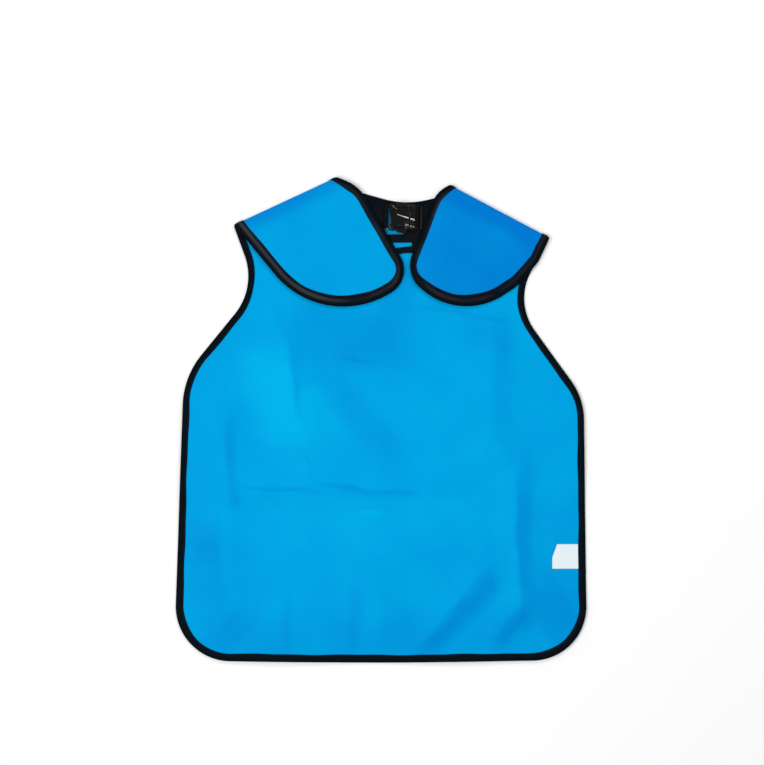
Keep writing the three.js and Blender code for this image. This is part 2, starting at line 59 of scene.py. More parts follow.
# %% Cloth, binding and folds
SHEET = 2.4  # lead rubber with both covers
TAPE = 0.7  # binding tape
TAPE_GAP = 0.4  # between the tape and the sheet that it wraps
WEBBING = 1.2
LOOP_TAPE = 1.0
GAP = 0.3
SHEET_INSET = 2.5  # from the binding's outer edge to the sheet's cut edge
FRONT_LEG, BACK_LEG = 9.0, 12.0  # how far the tape reaches in on each face
EDGE_LIFT = TAPE + TAPE_GAP
EDGE_SHELF, EDGE_RAMP = 48.0, 45.0
PANEL_TOP = EDGE_LIFT + SHEET
FOLD_RADIUS = 3.15  # of the sheet's middle
FOLD_OUTSIDE = FOLD_RADIUS + SHEET / 2
FLAP_FALL = math.radians(0.5)
FOLD_TURN = math.pi + FLAP_FALL
FOLD_LENGTH = FOLD_RADIUS * FOLD_TURN
FOLD_CROWN = FOLD_RADIUS * math.pi / 2
print(f"panel top {PANEL_TOP:.1f} mm, sheet in one fold {FOLD_LENGTH:.1f} mm")

# %% Outline corners: x, y, radius
HEM_CORNERS = [
    (-182, 193, 88),  # left armhole
    (-288, 63, 120),  # left hip
    (-302.8, -352, 80),  # left hem corner
    (0, -355.5, 3000),  # middle of the hem
    (301, -351, 80),  # right hem corner
    (296, 31, 100),  # right hip
    (195, 171, 80),  # right armhole
]
NECKLINE_CORNERS = [
    (88, 325.5, 14),  # right end
    (35, 313, 130),  # lowest point
    (-35, 333, 25),  # left end
]
SHOULDERS = {
    "left": {
        "fold": ((-214.6, 284), (-65.2, 353.4)),
        "flap": [
            (-32.6, 340.7, 58),  # turn at the neck
            (48.2, 204, 38.5),  # inner tip
            (-86, 128, 129),  # lower edge
        ],
    },
    "right": {
        "fold": ((100.5, 342.3), (246, 265)),
        "flap": [
            (229, 229, 36),  # outer turn
            (198, 194, 60),  # side
            (118, 142, 98),  # lower edge
            (33.6, 211, 44),  # inner tip
            (80.6, 330.5, 40),  # turn at the neck
        ],
    },
}

# %% [markdown]
# ## Paths
#
# A tape, a hem and a strap all follow a path of lines and arcs. One helper makes such a path as a dense row of
# points and spreads them evenly, and also gives the direction to the left at each point, which on this outline
# is always the side where the sheet lies.

# %% Path helpers
ARC_POINTS = 48


def length_along(line):
    """How far along a polyline each of its points is."""
    return np.concatenate([[0], np.cumsum(np.linalg.norm(np.diff(line, axis=0), axis=1))])


def raised(plan, height):
    """Places of a plan with their heights."""
    return np.concatenate([plan, height[..., None]], axis=-1)


def flat_place(run, across):
    """Flat positions: how far along a piece, and how far across it."""
    return np.stack(np.broadcast_arrays(run[:, None], across), axis=-1)


def evenly(line, step):
    """A polyline's points at equal steps along its length, and the unit direction to the left at each of them."""
    length = length_along(line)
    at = np.linspace(0, length[-1], int(math.ceil(length[-1] / step)) + 1)
    points = np.column_stack([np.interp(at, length, line[:, k]) for k in (0, 1)])
    ahead = np.gradient(points, axis=0)
    ahead /= np.linalg.norm(ahead, axis=1, keepdims=True)
    return points, np.column_stack([-ahead[:, 1], ahead[:, 0]])


def rounded_path(corners, step):
    """Lines joined by tangent arcs. Two lines that meet at an angle 2h take an arc of radius r whose ends lie
    r / tan(h) from their corner and whose centre lies r / sin(h) from it, on the line that halves the angle."""
    corners = np.array([tuple(corner) + (0,) * (3 - len(corner)) for corner in corners], float)
    runs = [corners[:1, :2]]
    for before, corner, after in zip(corners[:-2, :2], corners[1:-1], corners[2:, :2]):
        at, radius = corner[:2], corner[2]
        back = (before - at) / np.linalg.norm(before - at)
        ahead = (after - at) / np.linalg.norm(after - at)
        half = math.acos(np.clip(back @ ahead, -1, 1)) / 2
        middle = (back + ahead) / np.linalg.norm(back + ahead)
        centre = at + middle * radius / math.sin(half)
        arm = at + back * radius / math.tan(half) - centre
        side = -np.sign(back[0] * ahead[1] - back[1] * ahead[0])
        turn = side * np.linspace(0, math.pi - 2 * half, ARC_POINTS)
        x = arm[0] * np.cos(turn) - arm[1] * np.sin(turn)
        y = arm[0] * np.sin(turn) + arm[1] * np.cos(turn)
        runs.append(centre + np.column_stack([x, y]))
    runs.append(corners[-1:, :2])
    return evenly(np.vstack(runs), step)


# %% [markdown]
# ## Folded shoulders
#
# At each shoulder the sheet turns over a small radius and comes back over itself. A point of it is given in the
# sheet's own flat terms: s along the fold, a across it from where the bend starts, and t off the sheet's middle.
# Working in flat terms keeps the cloth's true size, because bending a sheet doesn't stretch it.

# %% Shoulder frames
RUN_ON = 25.0  # how far the flap's edge is carried on before the bend, to be cut there


def shoulder_frame(fold, flap):
    """The frame of one fold, and its flap's edge in flat terms. The edge runs straight over the fold at both ends,
    and crosses the fold's outermost line at the two ends that the fold is given by."""
    start, end = np.array(fold, float)
    length = np.linalg.norm(end - start)
    along = (end - start) / length
    out = np.array([-along[1], along[0]])
    origin = start - out * FOLD_OUTSIDE
    flap = np.array(flap, float)
    offset = flap[:, :2] - origin
    across = (offset @ out + FOLD_RADIUS * math.sin(FLAP_FALL)) / math.cos(FLAP_FALL)
    corners = np.column_stack([offset @ along, FOLD_LENGTH - across, flap[:, 2]])

    def run_on(corner, crossing, a):
        slant = (crossing - corner[0]) / (corner[1] - FOLD_CROWN)
        return corner[0] + slant * (corner[1] - a), a

    edge = [run_on(corners[0], length, -RUN_ON), *corners, run_on(corners[-1], 0, -RUN_ON)]
    ends = run_on(corners[-1], 0, 0)[0], run_on(corners[0], length, 0)[0]
    return {"origin": origin, "along": along, "out": out, "corners": corners, "edge": edge, "ends": ends}


def on_shoulder(shoulder, flat, t):
    """Flat terms to space: straight up to a = 0, then round by a / radius up to the fold's turn, then straight."""
    s, a = flat[..., 0], flat[..., 1]
    turn = np.clip(a / FOLD_RADIUS, 0, FOLD_TURN)
    straight = a - turn * FOLD_RADIUS
    out = FOLD_RADIUS * np.sin(turn) + straight * np.cos(turn) - t * np.sin(turn)
    up = FOLD_RADIUS * (1 - np.cos(turn)) + straight * np.sin(turn) + t * np.cos(turn)
    plan = shoulder["origin"] + s[..., None] * shoulder["along"] + out[..., None] * shoulder["out"]
    return raised(plan, EDGE_LIFT + SHEET / 2 + up)


left_shoulder = shoulder_frame(**SHOULDERS["left"])
right_shoulder = shoulder_frame(**SHOULDERS["right"])


def bend_start(shoulder, end):
    """The point where the bend starts at the left (0) or right (1) end of a fold."""
    return tuple(shoulder["origin"] + shoulder["ends"][end] * shoulder["along"])


EDGE_STEP = 2.5
hem_path = rounded_path([bend_start(left_shoulder, 0), *HEM_CORNERS, bend_start(right_shoulder, 1)], EDGE_STEP)
neck_path = rounded_path([bend_start(right_shoulder, 0), *NECKLINE_CORNERS, bend_start(left_shoulder, 1)], EDGE_STEP)
print(f"hem edge {len(hem_path[0]) * EDGE_STEP:.0f} mm, neckline {len(neck_path[0]) * EDGE_STEP:.0f} mm")

# %% [markdown]
# ## How the panel lies
#
# The edges lie on their own tape, so they are a little off the table, and the middle has swells and creases from
# being folded in a box. Both are heights added up from short tables: a line on the panel, how far its hump
# reaches, and how high it is. Swells are broad and round. A crease has a sharp crest and reaches further on one
# side than on the other, as cloth does that was pressed over to one side.

# %% Swells: x and y of both ends, reach, height
SWELLS = [
    (-205, -98, 60, -110, 38, 3.5),  # fold from packing
    (-232, 10, -230, -100, 45, 4),
    (-138, 112, -117, -38, 60, 5),
    (200, -68, 202, -275, 39, 5),  # long fold on the right
    (160, 98, 162, -42, 52, 4),
    (156, -222, 84, -298, 38, 4),
    (205, -275, 176, -302, 36, 3),
    (-4, -205, -2, -285, 50, 3),
    (-240, -165, -238, -270, 44, 3.5),
    (-150, -440, -150, -370, 140, 5),  # waves and a curl at the edges
    (120, -440, 120, -370, 130, 4),
    (335, -385, 335, -385, 160, 7),
    (-345, -70, -345, -10, 130, 5),
    (345, -30, 345, 20, 120, 4.5),
]

# %% Creases: x and y of both ends, reach to the left and to the right of that way, height
CREASES = [
    (-206, -106, -89, -112, 6, 22, 1.9),  # packing fold, in three lines
    (-147, -96, -23, -98, 4, 14, 1.1),
    (-82, -103, 50, -110, 6, 22, 1.9),
    (-31, -134, 6, -136, 4, 6, 0.8),  # short wrinkles
    (-28, -146, 2, -148, 4, 6, 0.8),
    (-74, 95, -2, 88, 8, 8, 0.9),
    (52, 160, 120, 146, 8, 6, 1.2),
    (110, 150, 196, 136, 7, 7, 1.2),
    (-140, 128, -113, -52, 14, 60, 2.4),  # left swell's right side
    (-100, 62, -93, -36, 30, 14, 1.2),
    (-214, 6, -222, -60, 9, 20, 1.0),  # left side, a bent line
    (-222, -56, -210, -128, 9, 20, 1.0),
    (162, 132, 166, -56, 26, 38, 1.4),  # right swell's right side
    (199, -64, 201, -290, 13, 38, 2.1),  # long fold on the right
    (184, -88, 198, -92, 6, 7, 0.6),
    (172, -212, 120, -272, 12, 26, 1.7),  # from the corner of the hem
    (124, -266, 62, -338, 12, 26, 1.7),
    (124, -214, 172, -216, 5, 6, 0.6),
    (212, -270, 163, -335, 11, 24, 1.3),
    (-30, -246, -29, -334, 18, 12, -0.7),  # upright lines above the hem
    (2, -240, 3, -336, 8, 14, 0.6),
    (-136, -266, -138, -340, 5, 8, 0.5),
    (-236, -160, -236, -330, 12, 30, -0.8),  # lower left border
]


def distance_to_line(x, y, x0, y0, x1, y1):
    """How far points are from a line's nearest point, where that is along it, from 0 to 1, and whether they are
    on the left of that way: there the cross product of the line and the way to the point is above 0."""
    squared = (x1 - x0) ** 2 + (y1 - y0) ** 2
    share = ((x - x0) * (x1 - x0) + (y - y0) * (y1 - y0)) / squared if squared else np.zeros_like(x)
    near = np.clip(share, 0, 1)
    on_left = (x1 - x0) * (y - y0) - (y1 - y0) * (x - x0) > 0
    return np.hypot(x - x0 - near * (x1 - x0), y - y0 - near * (y1 - y0)), near, on_left


DRIFT_ASIDE = (2.4, 0, 0.034, 0.8), (1.2, 0.02, 0.1, 2.0)  # waves: height, turn by x, turn by y, turn at the start
DRIFT_ALONG = (2.2, 0.03, 0, 1.7), (1.0, 0.09, -0.03, 0)


def waves(table, x, y=0):
    """The sum of h sin(a x + b y + c) over the rows h, a, b, c of a table."""
    return sum(h * np.sin(a * x + b * y + c) for h, a, b, c in table)


def drifted(x, y):
    """Places moved aside by slow waves, so that no line on the cloth is quite straight."""
    return x + waves(DRIFT_ASIDE, x, y), y + waves(DRIFT_ALONG, x, y)


def smooth_step(value, low, high):
    """0 below low, 1 above high, and 3 s^2 - 2 s^3 of the share s between them."""
    share = np.clip((value - low) / (high - low), 0, 1)
    return share * share * (3 - 2 * share)


SHELF_EVERY, SHELF_ON_FOLD = 3, 40  # how closely the edges and the folds are measured from
SHELF_POINTS = np.vstack([
    hem_path[0][::SHELF_EVERY],
    neck_path[0][::SHELF_EVERY],
    *(np.linspace(bend_start(fold, 0), bend_start(fold, 1), SHELF_ON_FOLD) for fold in (left_shoulder, right_shoulder)),
])
CREASE_END = 0.3  # share of a crease over which it fades at each end
CREST = 1.6  # how round a crease's crest is


def panel_lift(x, y):
    """Height of the panel's underside: a shelf along the edges, humps h (1 - (d / r)^2)^2 for the swells, and
    h exp(-2 d / r) for the creases, with their own r on each side, which fade out towards their ends."""
    inward = np.sqrt(np.min(
        (x.ravel()[:, None] - SHELF_POINTS[:, 0]) ** 2 + (y.ravel()[:, None] - SHELF_POINTS[:, 1]) ** 2, axis=1,
    )).reshape(x.shape) - SHEET_INSET
    lift = EDGE_LIFT * (1 - smooth_step(inward, EDGE_SHELF, EDGE_SHELF + EDGE_RAMP))
    for *line, reach, height in SWELLS:
        away, _, _ = distance_to_line(x, y, *line)
        lift = lift + height * np.clip(1 - (away / reach) ** 2, 0, 1) ** 2
    spot = drifted(x, y)
    for *line, left_reach, right_reach, height in CREASES:
        away, near, on_left = distance_to_line(*spot, *line)
        fade = smooth_step(near, 0, CREASE_END) * (1 - smooth_step(near, 1 - CREASE_END, 1))
        soft = np.sqrt(away ** 2 + CREST ** 2) - CREST
        lift = lift + height * fade * np.exp(-2 * soft / np.where(on_left, left_reach, right_reach))
    return lift


def on_panel(points, t):
    """A point of the plan to space, t above the sheet's middle there."""
    return raised(points, panel_lift(points[..., 0], points[..., 1]) + SHEET / 2 + t)


# %% [markdown]
# ## From arrays to a mesh
#
# Every new piece is a grid of points worked out with numpy, and its quads are found by slicing a grid of index
# numbers, so no vertex is ever handled alone. Each mesh also gets its flat position as a UV map: woven patterns
# then follow the cloth round a fold, as the real threads do.

# %% Mesh helpers
def grid_index(rows, columns, start=0):
    """The vertex numbers of a grid, row by row."""
    return start + np.arange(rows * columns).reshape(rows, columns)


def quads_of(index):
    """The quads of a grid of vertex numbers, row by row, with the rows running down the grid."""
    return np.stack([index[:-1, :-1], index[1:, :-1], index[1:, 1:], index[:-1, 1:]], axis=-1).reshape(-1, 4)


def new_piece(name, points, quads, flat, slot, node=None):
    """An object from points in millimetres, quads, and a flat position in millimetres for each point. If a node is
    given, the object is shown instead of it."""
    mesh = bpy.data.meshes.new(name)
    mesh.from_pydata((points * MM).tolist(), [], quads.tolist())
    layer = mesh.uv_layers.new(name="flat")
    corner = np.empty(len(mesh.loops), np.int32)
    mesh.loops.foreach_get("vertex_index", corner)
    layer.data.foreach_set("uv", (flat[corner] * MM).astype(np.float32).ravel())
    mesh.shade_smooth()
    piece = bpy.data.objects.new(name, mesh)
    bpy.context.scene.collection.objects.link(piece)
    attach(piece, "root")
    if node:
        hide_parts(node)
    print(f"{name}: {len(points)} points, {len(quads)} quads")
    return piece


def thicken(piece, thickness):
    """Makes a surface a wall, half of it on each side."""
    wall = piece.modifiers.new("thickness", "SOLIDIFY")
    wall.thickness = thickness * MM
    wall.offset = 0


def volume_of(points, quads):
    """Signed volume inside closed quads: the sum over their triangles of a . (b x c) / 6."""
    a, b, c, d = (points[quads[:, k]] for k in range(4))
    return np.sum(a * np.cross(b, c)) / 6 + np.sum(a * np.cross(c, d)) / 6


def closed_tube(rings):
    """Quads of rings, n of them with m points each, m even, joined into a tube with both ends closed. A ring is a
    front row and then a back row returning, so an end is closed by a strip between the two rows."""
    count, around = rings.shape[:2]
    index = grid_index(count, around)
    walls = quads_of(np.column_stack([index, index[:, :1]]))
    j = np.arange(around // 2 - 1)
    strip = np.column_stack([j, j + 1, around - 2 - j, around - 1 - j])
    ends = np.vstack([strip, strip[:, ::-1] + index[-1, 0]])
    quads = np.vstack([walls, ends])
    return quads if volume_of(rings.reshape(-1, 3), quads) > 0 else quads[:, ::-1]


def tube_piece(name, rings, flat, slot, node):
    """A closed tube of rings as a piece."""
    return new_piece(name, rings.reshape(-1, 3), closed_tube(rings), flat.reshape(-1, 2), slot, node)


# %% [markdown]
# ## The cover
#
# On the real apron the cover is one cut piece, panel and flaps together. A grid stretched between four edges
# follows such an outline exactly: the two sides are blended across, the top and bottom are blended down, and the
# corners, which both blends hold, are taken off once. The flaps are two more such grids, made in flat terms and
# then bent, and they share the panel's points along the fold, so the sheet is in one piece.

# %% Grids between four edges
PANEL_ROWS, FOLD_COLUMNS, NECK_COLUMNS = 230, 50, 70
CLOSE_FROM, CLOSE_TO, CLOSER = 0.58, 0.7, 2.3  # rows are closer together where the packing fold lies
BEND_ROWS, FLAP_ROWS = 24, 44
BEND_SHARE = 0.075
FINE_ROWS = 2000
NECK_TRIM, HEM_TRIM = 3, 2  # points of the edge left out beside the folds


def spread(line, measure, shares):
    """Points of a line where a measure that grows along it has the given shares of its range."""
    share = (measure - measure[0]) / (measure[-1] - measure[0])
    return np.column_stack([np.interp(shares, share, line[:, k]) for k in (0, 1)])


def stretched(top, bottom, left, right, u, v):
    """(1-u) left + u right + (1-v) top + v bottom, less the same blend of the four corners."""
    u, v = u[None, :, None], v[:, None, None]
    across = (1 - u) * left[:, None] + u * right[:, None]
    down = (1 - v) * top[None] + v * bottom[None]
    corners = (1 - v) * ((1 - u) * top[0] + u * top[-1]) + v * ((1 - u) * bottom[0] + u * bottom[-1])
    return across + down - corners


def flap_sides(shoulder, far_right, far_left):
    """The cut edge of a flap in flat terms as three lines: right side, far edge and left side. The edge is moved
    in from the binding's, cut where the bend starts, and parted nearest to the two far corners."""
    points, inward = rounded_path(shoulder["edge"], EDGE_STEP)
    line = points + SHEET_INSET * inward
    kept = np.flatnonzero(line[:, 1] > 0)
    first, last = kept[0], kept[-1]
    cut = [line[k] + (line[k + 1] - line[k]) * line[k, 1] / (line[k, 1] - line[k + 1, 1]) for k in (first - 1, last)]
    line = np.vstack([cut[:1], line[first:last + 1], cut[1:]])
    near = [np.argmin(np.linalg.norm(line - shoulder["corners"][k, :2], axis=1)) for k in (far_right, far_left)]
    return line[:near[0] + 1], line[near[0]:near[1] + 1][::-1], line[near[1]:][::-1]


def flap_grid(shoulder, far_right, far_left):
    """A flap in flat terms: rows from the start of the bend to the far edge, close together over the bend."""
    right, far, left = flap_sides(shoulder, far_right, far_left)
    v = np.concatenate([np.linspace(0, BEND_SHARE, BEND_ROWS), np.linspace(BEND_SHARE, 1, FLAP_ROWS)[1:]])
    u = np.linspace(0, 1, FOLD_COLUMNS)
    near = np.column_stack([np.linspace(left[0, 0], right[0, 0], FOLD_COLUMNS), np.zeros(FOLD_COLUMNS)])
    far = spread(far, length_along(far), u)
    return stretched(near, far, spread(left, left[:, 1], v), spread(right, right[:, 1], v), u, v)


left_flap = flap_grid(left_shoulder, 1, 2)
right_flap = flap_grid(right_shoulder, 2, 3)

# %% The panel's grid
hem_edge = hem_path[0] + SHEET_INSET * hem_path[1]
neck_edge = (neck_path[0] + SHEET_INSET * neck_path[1])[::-1]
FLAPS = ("left", left_shoulder, left_flap), ("right", right_shoulder, right_flap)
fold_lines = [fold["origin"] + flap[0, :, :1] * fold["along"] for _, fold, flap in FLAPS]
neck_line = np.vstack([fold_lines[0][-1:], neck_edge[NECK_TRIM:-NECK_TRIM], fold_lines[1][:1]])
neck_line = spread(neck_line, length_along(neck_line), np.linspace(0, 1, NECK_COLUMNS))
panel_top = np.vstack([fold_lines[0], neck_line[1:-1], fold_lines[1]])
low_left, low_right = (np.argmin(np.linalg.norm(hem_edge - HEM_CORNERS[k][:2], axis=1)) for k in (2, 4))
panel_left = np.vstack([panel_top[:1], hem_edge[HEM_TRIM:low_left + 1]])
panel_right = np.vstack([panel_top[-1:], hem_edge[low_right:-HEM_TRIM][::-1]])
panel_bottom = hem_edge[low_left:low_right + 1]
panel_u = (panel_top[:, 0] - panel_top[0, 0]) / (panel_top[-1, 0] - panel_top[0, 0])
fine_v = np.linspace(0, 1, FINE_ROWS)
rows_up_to = np.cumsum(1 + (CLOSER - 1) * ((fine_v > CLOSE_FROM) & (fine_v < CLOSE_TO)))
rows_up_to = (rows_up_to - rows_up_to[0]) / (rows_up_to[-1] - rows_up_to[0])
panel_v = np.interp(np.linspace(0, 1, PANEL_ROWS), rows_up_to, fine_v)
panel_flat = stretched(
    panel_top,
    spread(panel_bottom, length_along(panel_bottom), panel_u),
    spread(panel_left, -panel_left[:, 1], panel_v),
    spread(panel_right, -panel_right[:, 1], panel_v),
    panel_u,
    panel_v,
)
print("panel grid", panel_flat.shape[:2], "flap grid", left_flap.shape[:2])

# %% One sheet of panel and flaps
FLAP_SWELLS = {  # s, a, reach along, reach across, height
    "left": [(70, 70, 70, 45, 0.9), (130, 120, 40, 60, 0.7)],
    "right": [(80, 60, 60, 40, 0.8), (40, 110, 40, 50, 0.6)],
}
SWELL_START = 30.0  # past the bend, over which a flap's swells begin
# The right flap's deeper tone is painted shade.
TONES_AND_SHADE = {"panel": 0.32, "left": 0.37, "right": 0.8}
FOLD_SHADE, FOLD_SHADE_REACH = 0.4, 15.0  # painted shade: a flap is drawn deeper blue along its fold
TONE_END = 0.7
OUTER_SHADE, OUTER_FROM, OUTER_TO = 0.14, 70.0, 160.0  # and painted shade on the right one towards its outer end
PAINTED_LIGHT_AND_SHADE = [  # painted light and shade on the panel: x and y of both ends, reach to the left and to the right of that way, how much deeper the blue is there
    (-150, 118, -117, -40, 12, 80, -0.36),  # painted light where the panel bulges towards the light
    (-172, 165, -160, 100, 25, 30, -0.06),
    (-111, 56, -106, -38, 70, 12, -0.22),
    (70, 25, 130, -90, 85, 85, -0.1),
    (-190, -128, 150, -131, 22, 75, -0.11),
    (166, -84, 196, -90, 24, 24, -0.1),
    (192, -95, 195, -265, 9, 36, -0.08),
    (-14, -240, -14, -325, 18, 18, -0.08),
    (-135, 116, 45, 110, 70, 52, 0.22),  # painted shade under the flaps
    (25, 235, 25, 150, 38, 38, 0.2),
    (105, 132, 190, 124, 36, 36, 0.08),
    (-95, 80, 20, -55, 34, 30, 0.11),
    (172, 140, 178, -45, 26, 14, 0.13),  # painted shade beside the folds on the right
    (203, -62, 206, -290, 24, 8, 0.26),
    (285, -120, 285, -330, 30, 85, 0.1),  # painted shade along the borders
    (235, -310, 285, -285, 100, 100, 0.24),
    (-245, -140, -243, -275, 18, 60, 0.2),
    (-250, -300, -205, -335, 75, 60, 0.22),
    (-200, -345, 200, -345, 85, 20, 0.17),
    (-205, -100, -90, -108, 7, 3, 0.2),  # painted shade in the lines of the packing fold
    (-92, -97, -20, -101, 6, 3, 0.2),
    (-66, -104, 52, -108, 7, 3, 0.22),
    (-218, 8, -226, -62, 13, 9, 0.2),
    (-225, -50, -214, -128, 13, 9, 0.2),
    (164, -216, 112, -282, 36, 14, 0.3),  # painted shade in the creases from the corner of the hem
    (124, -264, 66, -338, 26, 12, 0.25),
    (208, -268, 165, -330, 17, 9, 0.24),
    (-40, -240, -40, -335, 14, 11, 0.12),
    (-140, -258, -140, -340, 11, 8, 0.12),
    (55, 163, 195, 141, 6, 4, 0.14),  # painted shade in the wrinkles below the right flap and across the middle, and painted light on one short wrinkle
    (-70, 91, -4, 86, 5, 4, 0.12),
    (-32, -133, 6, -135, 5, 7, -0.14),
]


def panel_tone_and_shade(x, y):
    """The panel's own tone, and humps h (1 - (d / r)^3)^2 of painted light and shade, weaker
    towards the ends of their lines."""
    tone = np.full(x.shape, TONES_AND_SHADE["panel"])
    spot = drifted(x, y)
    for *line, left_reach, right_reach, amount in PAINTED_LIGHT_AND_SHADE:
        away, near, on_left = distance_to_line(*spot, *line)
        hump = np.clip(1 - (away / np.where(on_left, left_reach, right_reach)) ** 3, 0, 1) ** 2
        tone += amount * hump * (1 - TONE_END * np.abs(2 * near - 1) ** 3)
    return tone


def flap_tone_and_shade(side, s, a):
    """A flap's tone, deepened as painted shade on the right one and by t exp(-(d / r)^2) at a distance d past the bend.
    """
    tone = TONES_AND_SHADE[side] + FOLD_SHADE * np.exp(-(np.maximum(a - FOLD_LENGTH, 0) / FOLD_SHADE_REACH) ** 2)
    return tone + OUTER_SHADE * smooth_step(s, OUTER_FROM, OUTER_TO) * (side == "right")


def flap_points(side, shoulder, grid):
    """The bent flap with soft swells, each h exp(-(ds / rs)^2 - (da / ra)^2), which start after the bend."""
    s, a = grid[..., 0], grid[..., 1]
    points = on_shoulder(shoulder, grid, 0)
    for s0, a0, reach_s, reach_a, height in FLAP_SWELLS[side]:
        swell = height * np.exp(-((s - s0) / reach_s) ** 2 - ((a - a0) / reach_a) ** 2)
        points[..., 2] += swell * smooth_step(a, FOLD_LENGTH, FOLD_LENGTH + SWELL_START)
    return points


panel_points = on_panel(panel_flat, 0)
panel_index = grid_index(*panel_flat.shape[:2])
cover_points, cover_flat = [panel_points.reshape(-1, 3)], [panel_flat.reshape(-1, 2)]
cover_quads, cover_tone_and_shade = [quads_of(panel_index)], [panel_tone_and_shade(panel_flat[..., 0], panel_flat[..., 1]).ravel()]
first_columns = {"left": 0, "right": panel_flat.shape[1] - FOLD_COLUMNS}
for side, shoulder, grid in FLAPS:
    bent = flap_points(side, shoulder, grid)[1:]
    index = grid_index(*bent.shape[:2], sum(map(len, cover_points)))
    shared = panel_index[:1, first_columns[side]:first_columns[side] + FOLD_COLUMNS]
    cover_quads.append(quads_of(np.vstack([shared, index])[::-1]))
    cover_points.append(bent.reshape(-1, 3))
    flat = shoulder["origin"] + grid[1:, :, :1] * shoulder["along"] + grid[1:, :, 1:] * shoulder["out"]
    cover_flat.append(flat.reshape(-1, 2))
    cover_tone_and_shade.append(flap_tone_and_shade(side, grid[1:, :, 0], grid[1:, :, 1]).ravel())

cover_arrays = (np.vstack(rows) for rows in (cover_points, cover_quads, cover_flat))
cover = new_piece("cover", *cover_arrays, "cover", "cover_sheet")
# The tone attribute holds the cover's own tone together with its painted light and shade.
tone = cover.data.attributes.new("tone", "FLOAT", "POINT")
tone.data.foreach_set("value", np.concatenate(cover_tone_and_shade).astype(np.float32))
thicken(cover, SHEET)

# %% [markdown]
# ## The binding
#
# A woven tape is folded round the cut edge and sewn through, a narrow leg on the front and a wider one behind.
# It could be a curve with a bevel, but a curve can't turn over the fold with the sheet. So its section is carried
# along the edge in the sheet's own flat terms and then bent with it. Where it crosses a fold, the rows are turned
# to run along the fold, so that none of them cuts the corner of the bend.

# %% The tape's section
TURN_POINTS = 9
TAPE_OUT = SHEET / 2 + TAPE_GAP + TAPE
TAPE_IN = TAPE_OUT - TAPE
TURN_DEPTH = 3.0
STITCH_IN = 1.7  # from a leg's edge to its row of stitches
CROWN_EDGE, CROWN_RISE, CROWN_FLAT, CROWN_HIGH = 0.06, 0.05, 0.1, 0.45
DIP, DIP_REACH, EDGE_ROUND = 0.24, 0.55, 0.32  # at the stitches, and at a leg's edge
EDGE_ROWS = np.array([0, 0.3, 0.9, 1.3, 1.7, 2.1, 2.6, 3.2])  # rows near a leg's edge, by their distance from it
FLAT_SHARES = np.array([0.85, 0.65, 0.45, 0.25, 0.1])  # rows further in, as shares of what is left of the leg


def leg_rows():
    """A leg's rows from its edge to the turn. A row's depth is fixed + slope times the leg, so the stitched edge
    keeps its shape when a leg gets longer. Heights have a low crown, a dip at the stitches and a rounded edge."""
    fixed = np.concatenate([-EDGE_ROWS, TURN_DEPTH * (1 - FLAT_SHARES) - EDGE_ROWS[-1] * FLAT_SHARES])
    slope = np.concatenate([np.ones(len(EDGE_ROWS)), FLAT_SHARES])
    flat_crown = CROWN_FLAT + CROWN_HIGH * np.sin(math.pi * FLAT_SHARES)
    crown = np.concatenate([CROWN_EDGE + CROWN_RISE * EDGE_ROWS, flat_crown])
    dip = np.concatenate([DIP * np.exp(-((EDGE_ROWS - STITCH_IN) / DIP_REACH) ** 2), np.zeros(len(FLAT_SHARES))])
    rounded = EDGE_ROUND * (np.arange(len(fixed)) == 0)
    return fixed, slope, TAPE_OUT + crown - dip - rounded


def tape_section():
    """The section's rows: along the front leg, round a half ellipse and along the back leg, and back inside it."""
    fixed, slope, up = leg_rows()
    turn = np.linspace(math.pi / 2, -math.pi / 2, TURN_POINTS)
    none, level = np.zeros(TURN_POINTS), np.full(len(up), TAPE_IN)
    outer = np.concatenate([fixed, TURN_DEPTH * (1 - np.cos(turn)), fixed[::-1]])
    inner = np.concatenate([fixed, TURN_DEPTH - (TURN_DEPTH - TAPE) * np.cos(turn), fixed[::-1]])
    front = np.concatenate([slope, none, 0 * slope])
    back = np.concatenate([0 * slope, none, slope[::-1]])
    outer_up = np.concatenate([up, TAPE_OUT * np.sin(turn), -up[::-1]])
    inner_up = np.concatenate([level, TAPE_IN * np.sin(turn), -level])
    there_and_back = ((outer, inner), (front, front), (back, back), (outer_up, inner_up))
    return [np.concatenate([row, row_in[::-1]]) for row, row_in in there_and_back]


section_fixed, section_front, section_back, section_up = tape_section()
print(f"tape section of {len(section_up)} points")

# %% Tapes round the panel and the flaps
MITRE_FADE = 16.0
PUCKER = (0.07, 0.61, 0, 0), (0.07, 0.37, 0, 1.3)  # waves between the stitches
WANDER = (0.45, 0.043, 0, 0.6), (0.27, 0.101, 0, 2.1)  # waves of a sewn edge's width
HEM_LEG, HEM_LEG_MORE, HEM_LEG_RANGE = 9.9, 1.6, (60, 320)  # its front leg, and more of it further down the panel
FACING_LOW, FACING_SHORTEST, FACING_LONGEST = 309.4, 5.0, 18.0
FOLD_LEGS = {"left": (10.3, 15.0), "right": (12.6, 10.3)}  # along the fold, where a flap's tape crosses its ends
TIP_REACH = 22.0
OUTER_SKIN = 0.05  # rows further out than the inside by this belong to the outside


def turned_along(inward, fold, share):
    """The inward directions turned by a share to run along a fold, and lengthened to reach as far in."""
    mitre = fold / (inward @ fold)[:, None]
    return inward + share[:, None] * (mitre - inward)


def tape_rings(points, inward, front, back):
    """The section's points along the edge in plan, with the heights, a little puckered between stitches."""
    run = np.arange(len(points)) * EDGE_STEP
    depth = section_fixed + section_front * front[:, None] + section_back * back[:, None]
    plan = points[:, None] + inward[:, None] * depth[..., None]
    pucker = waves(PUCKER, run)
    outer = np.abs(section_up) > TAPE_IN + OUTER_SKIN
    up = section_up + np.sign(section_up) * outer * pucker[:, None]
    return plan, up, flat_place(run, depth * np.sign(section_up))


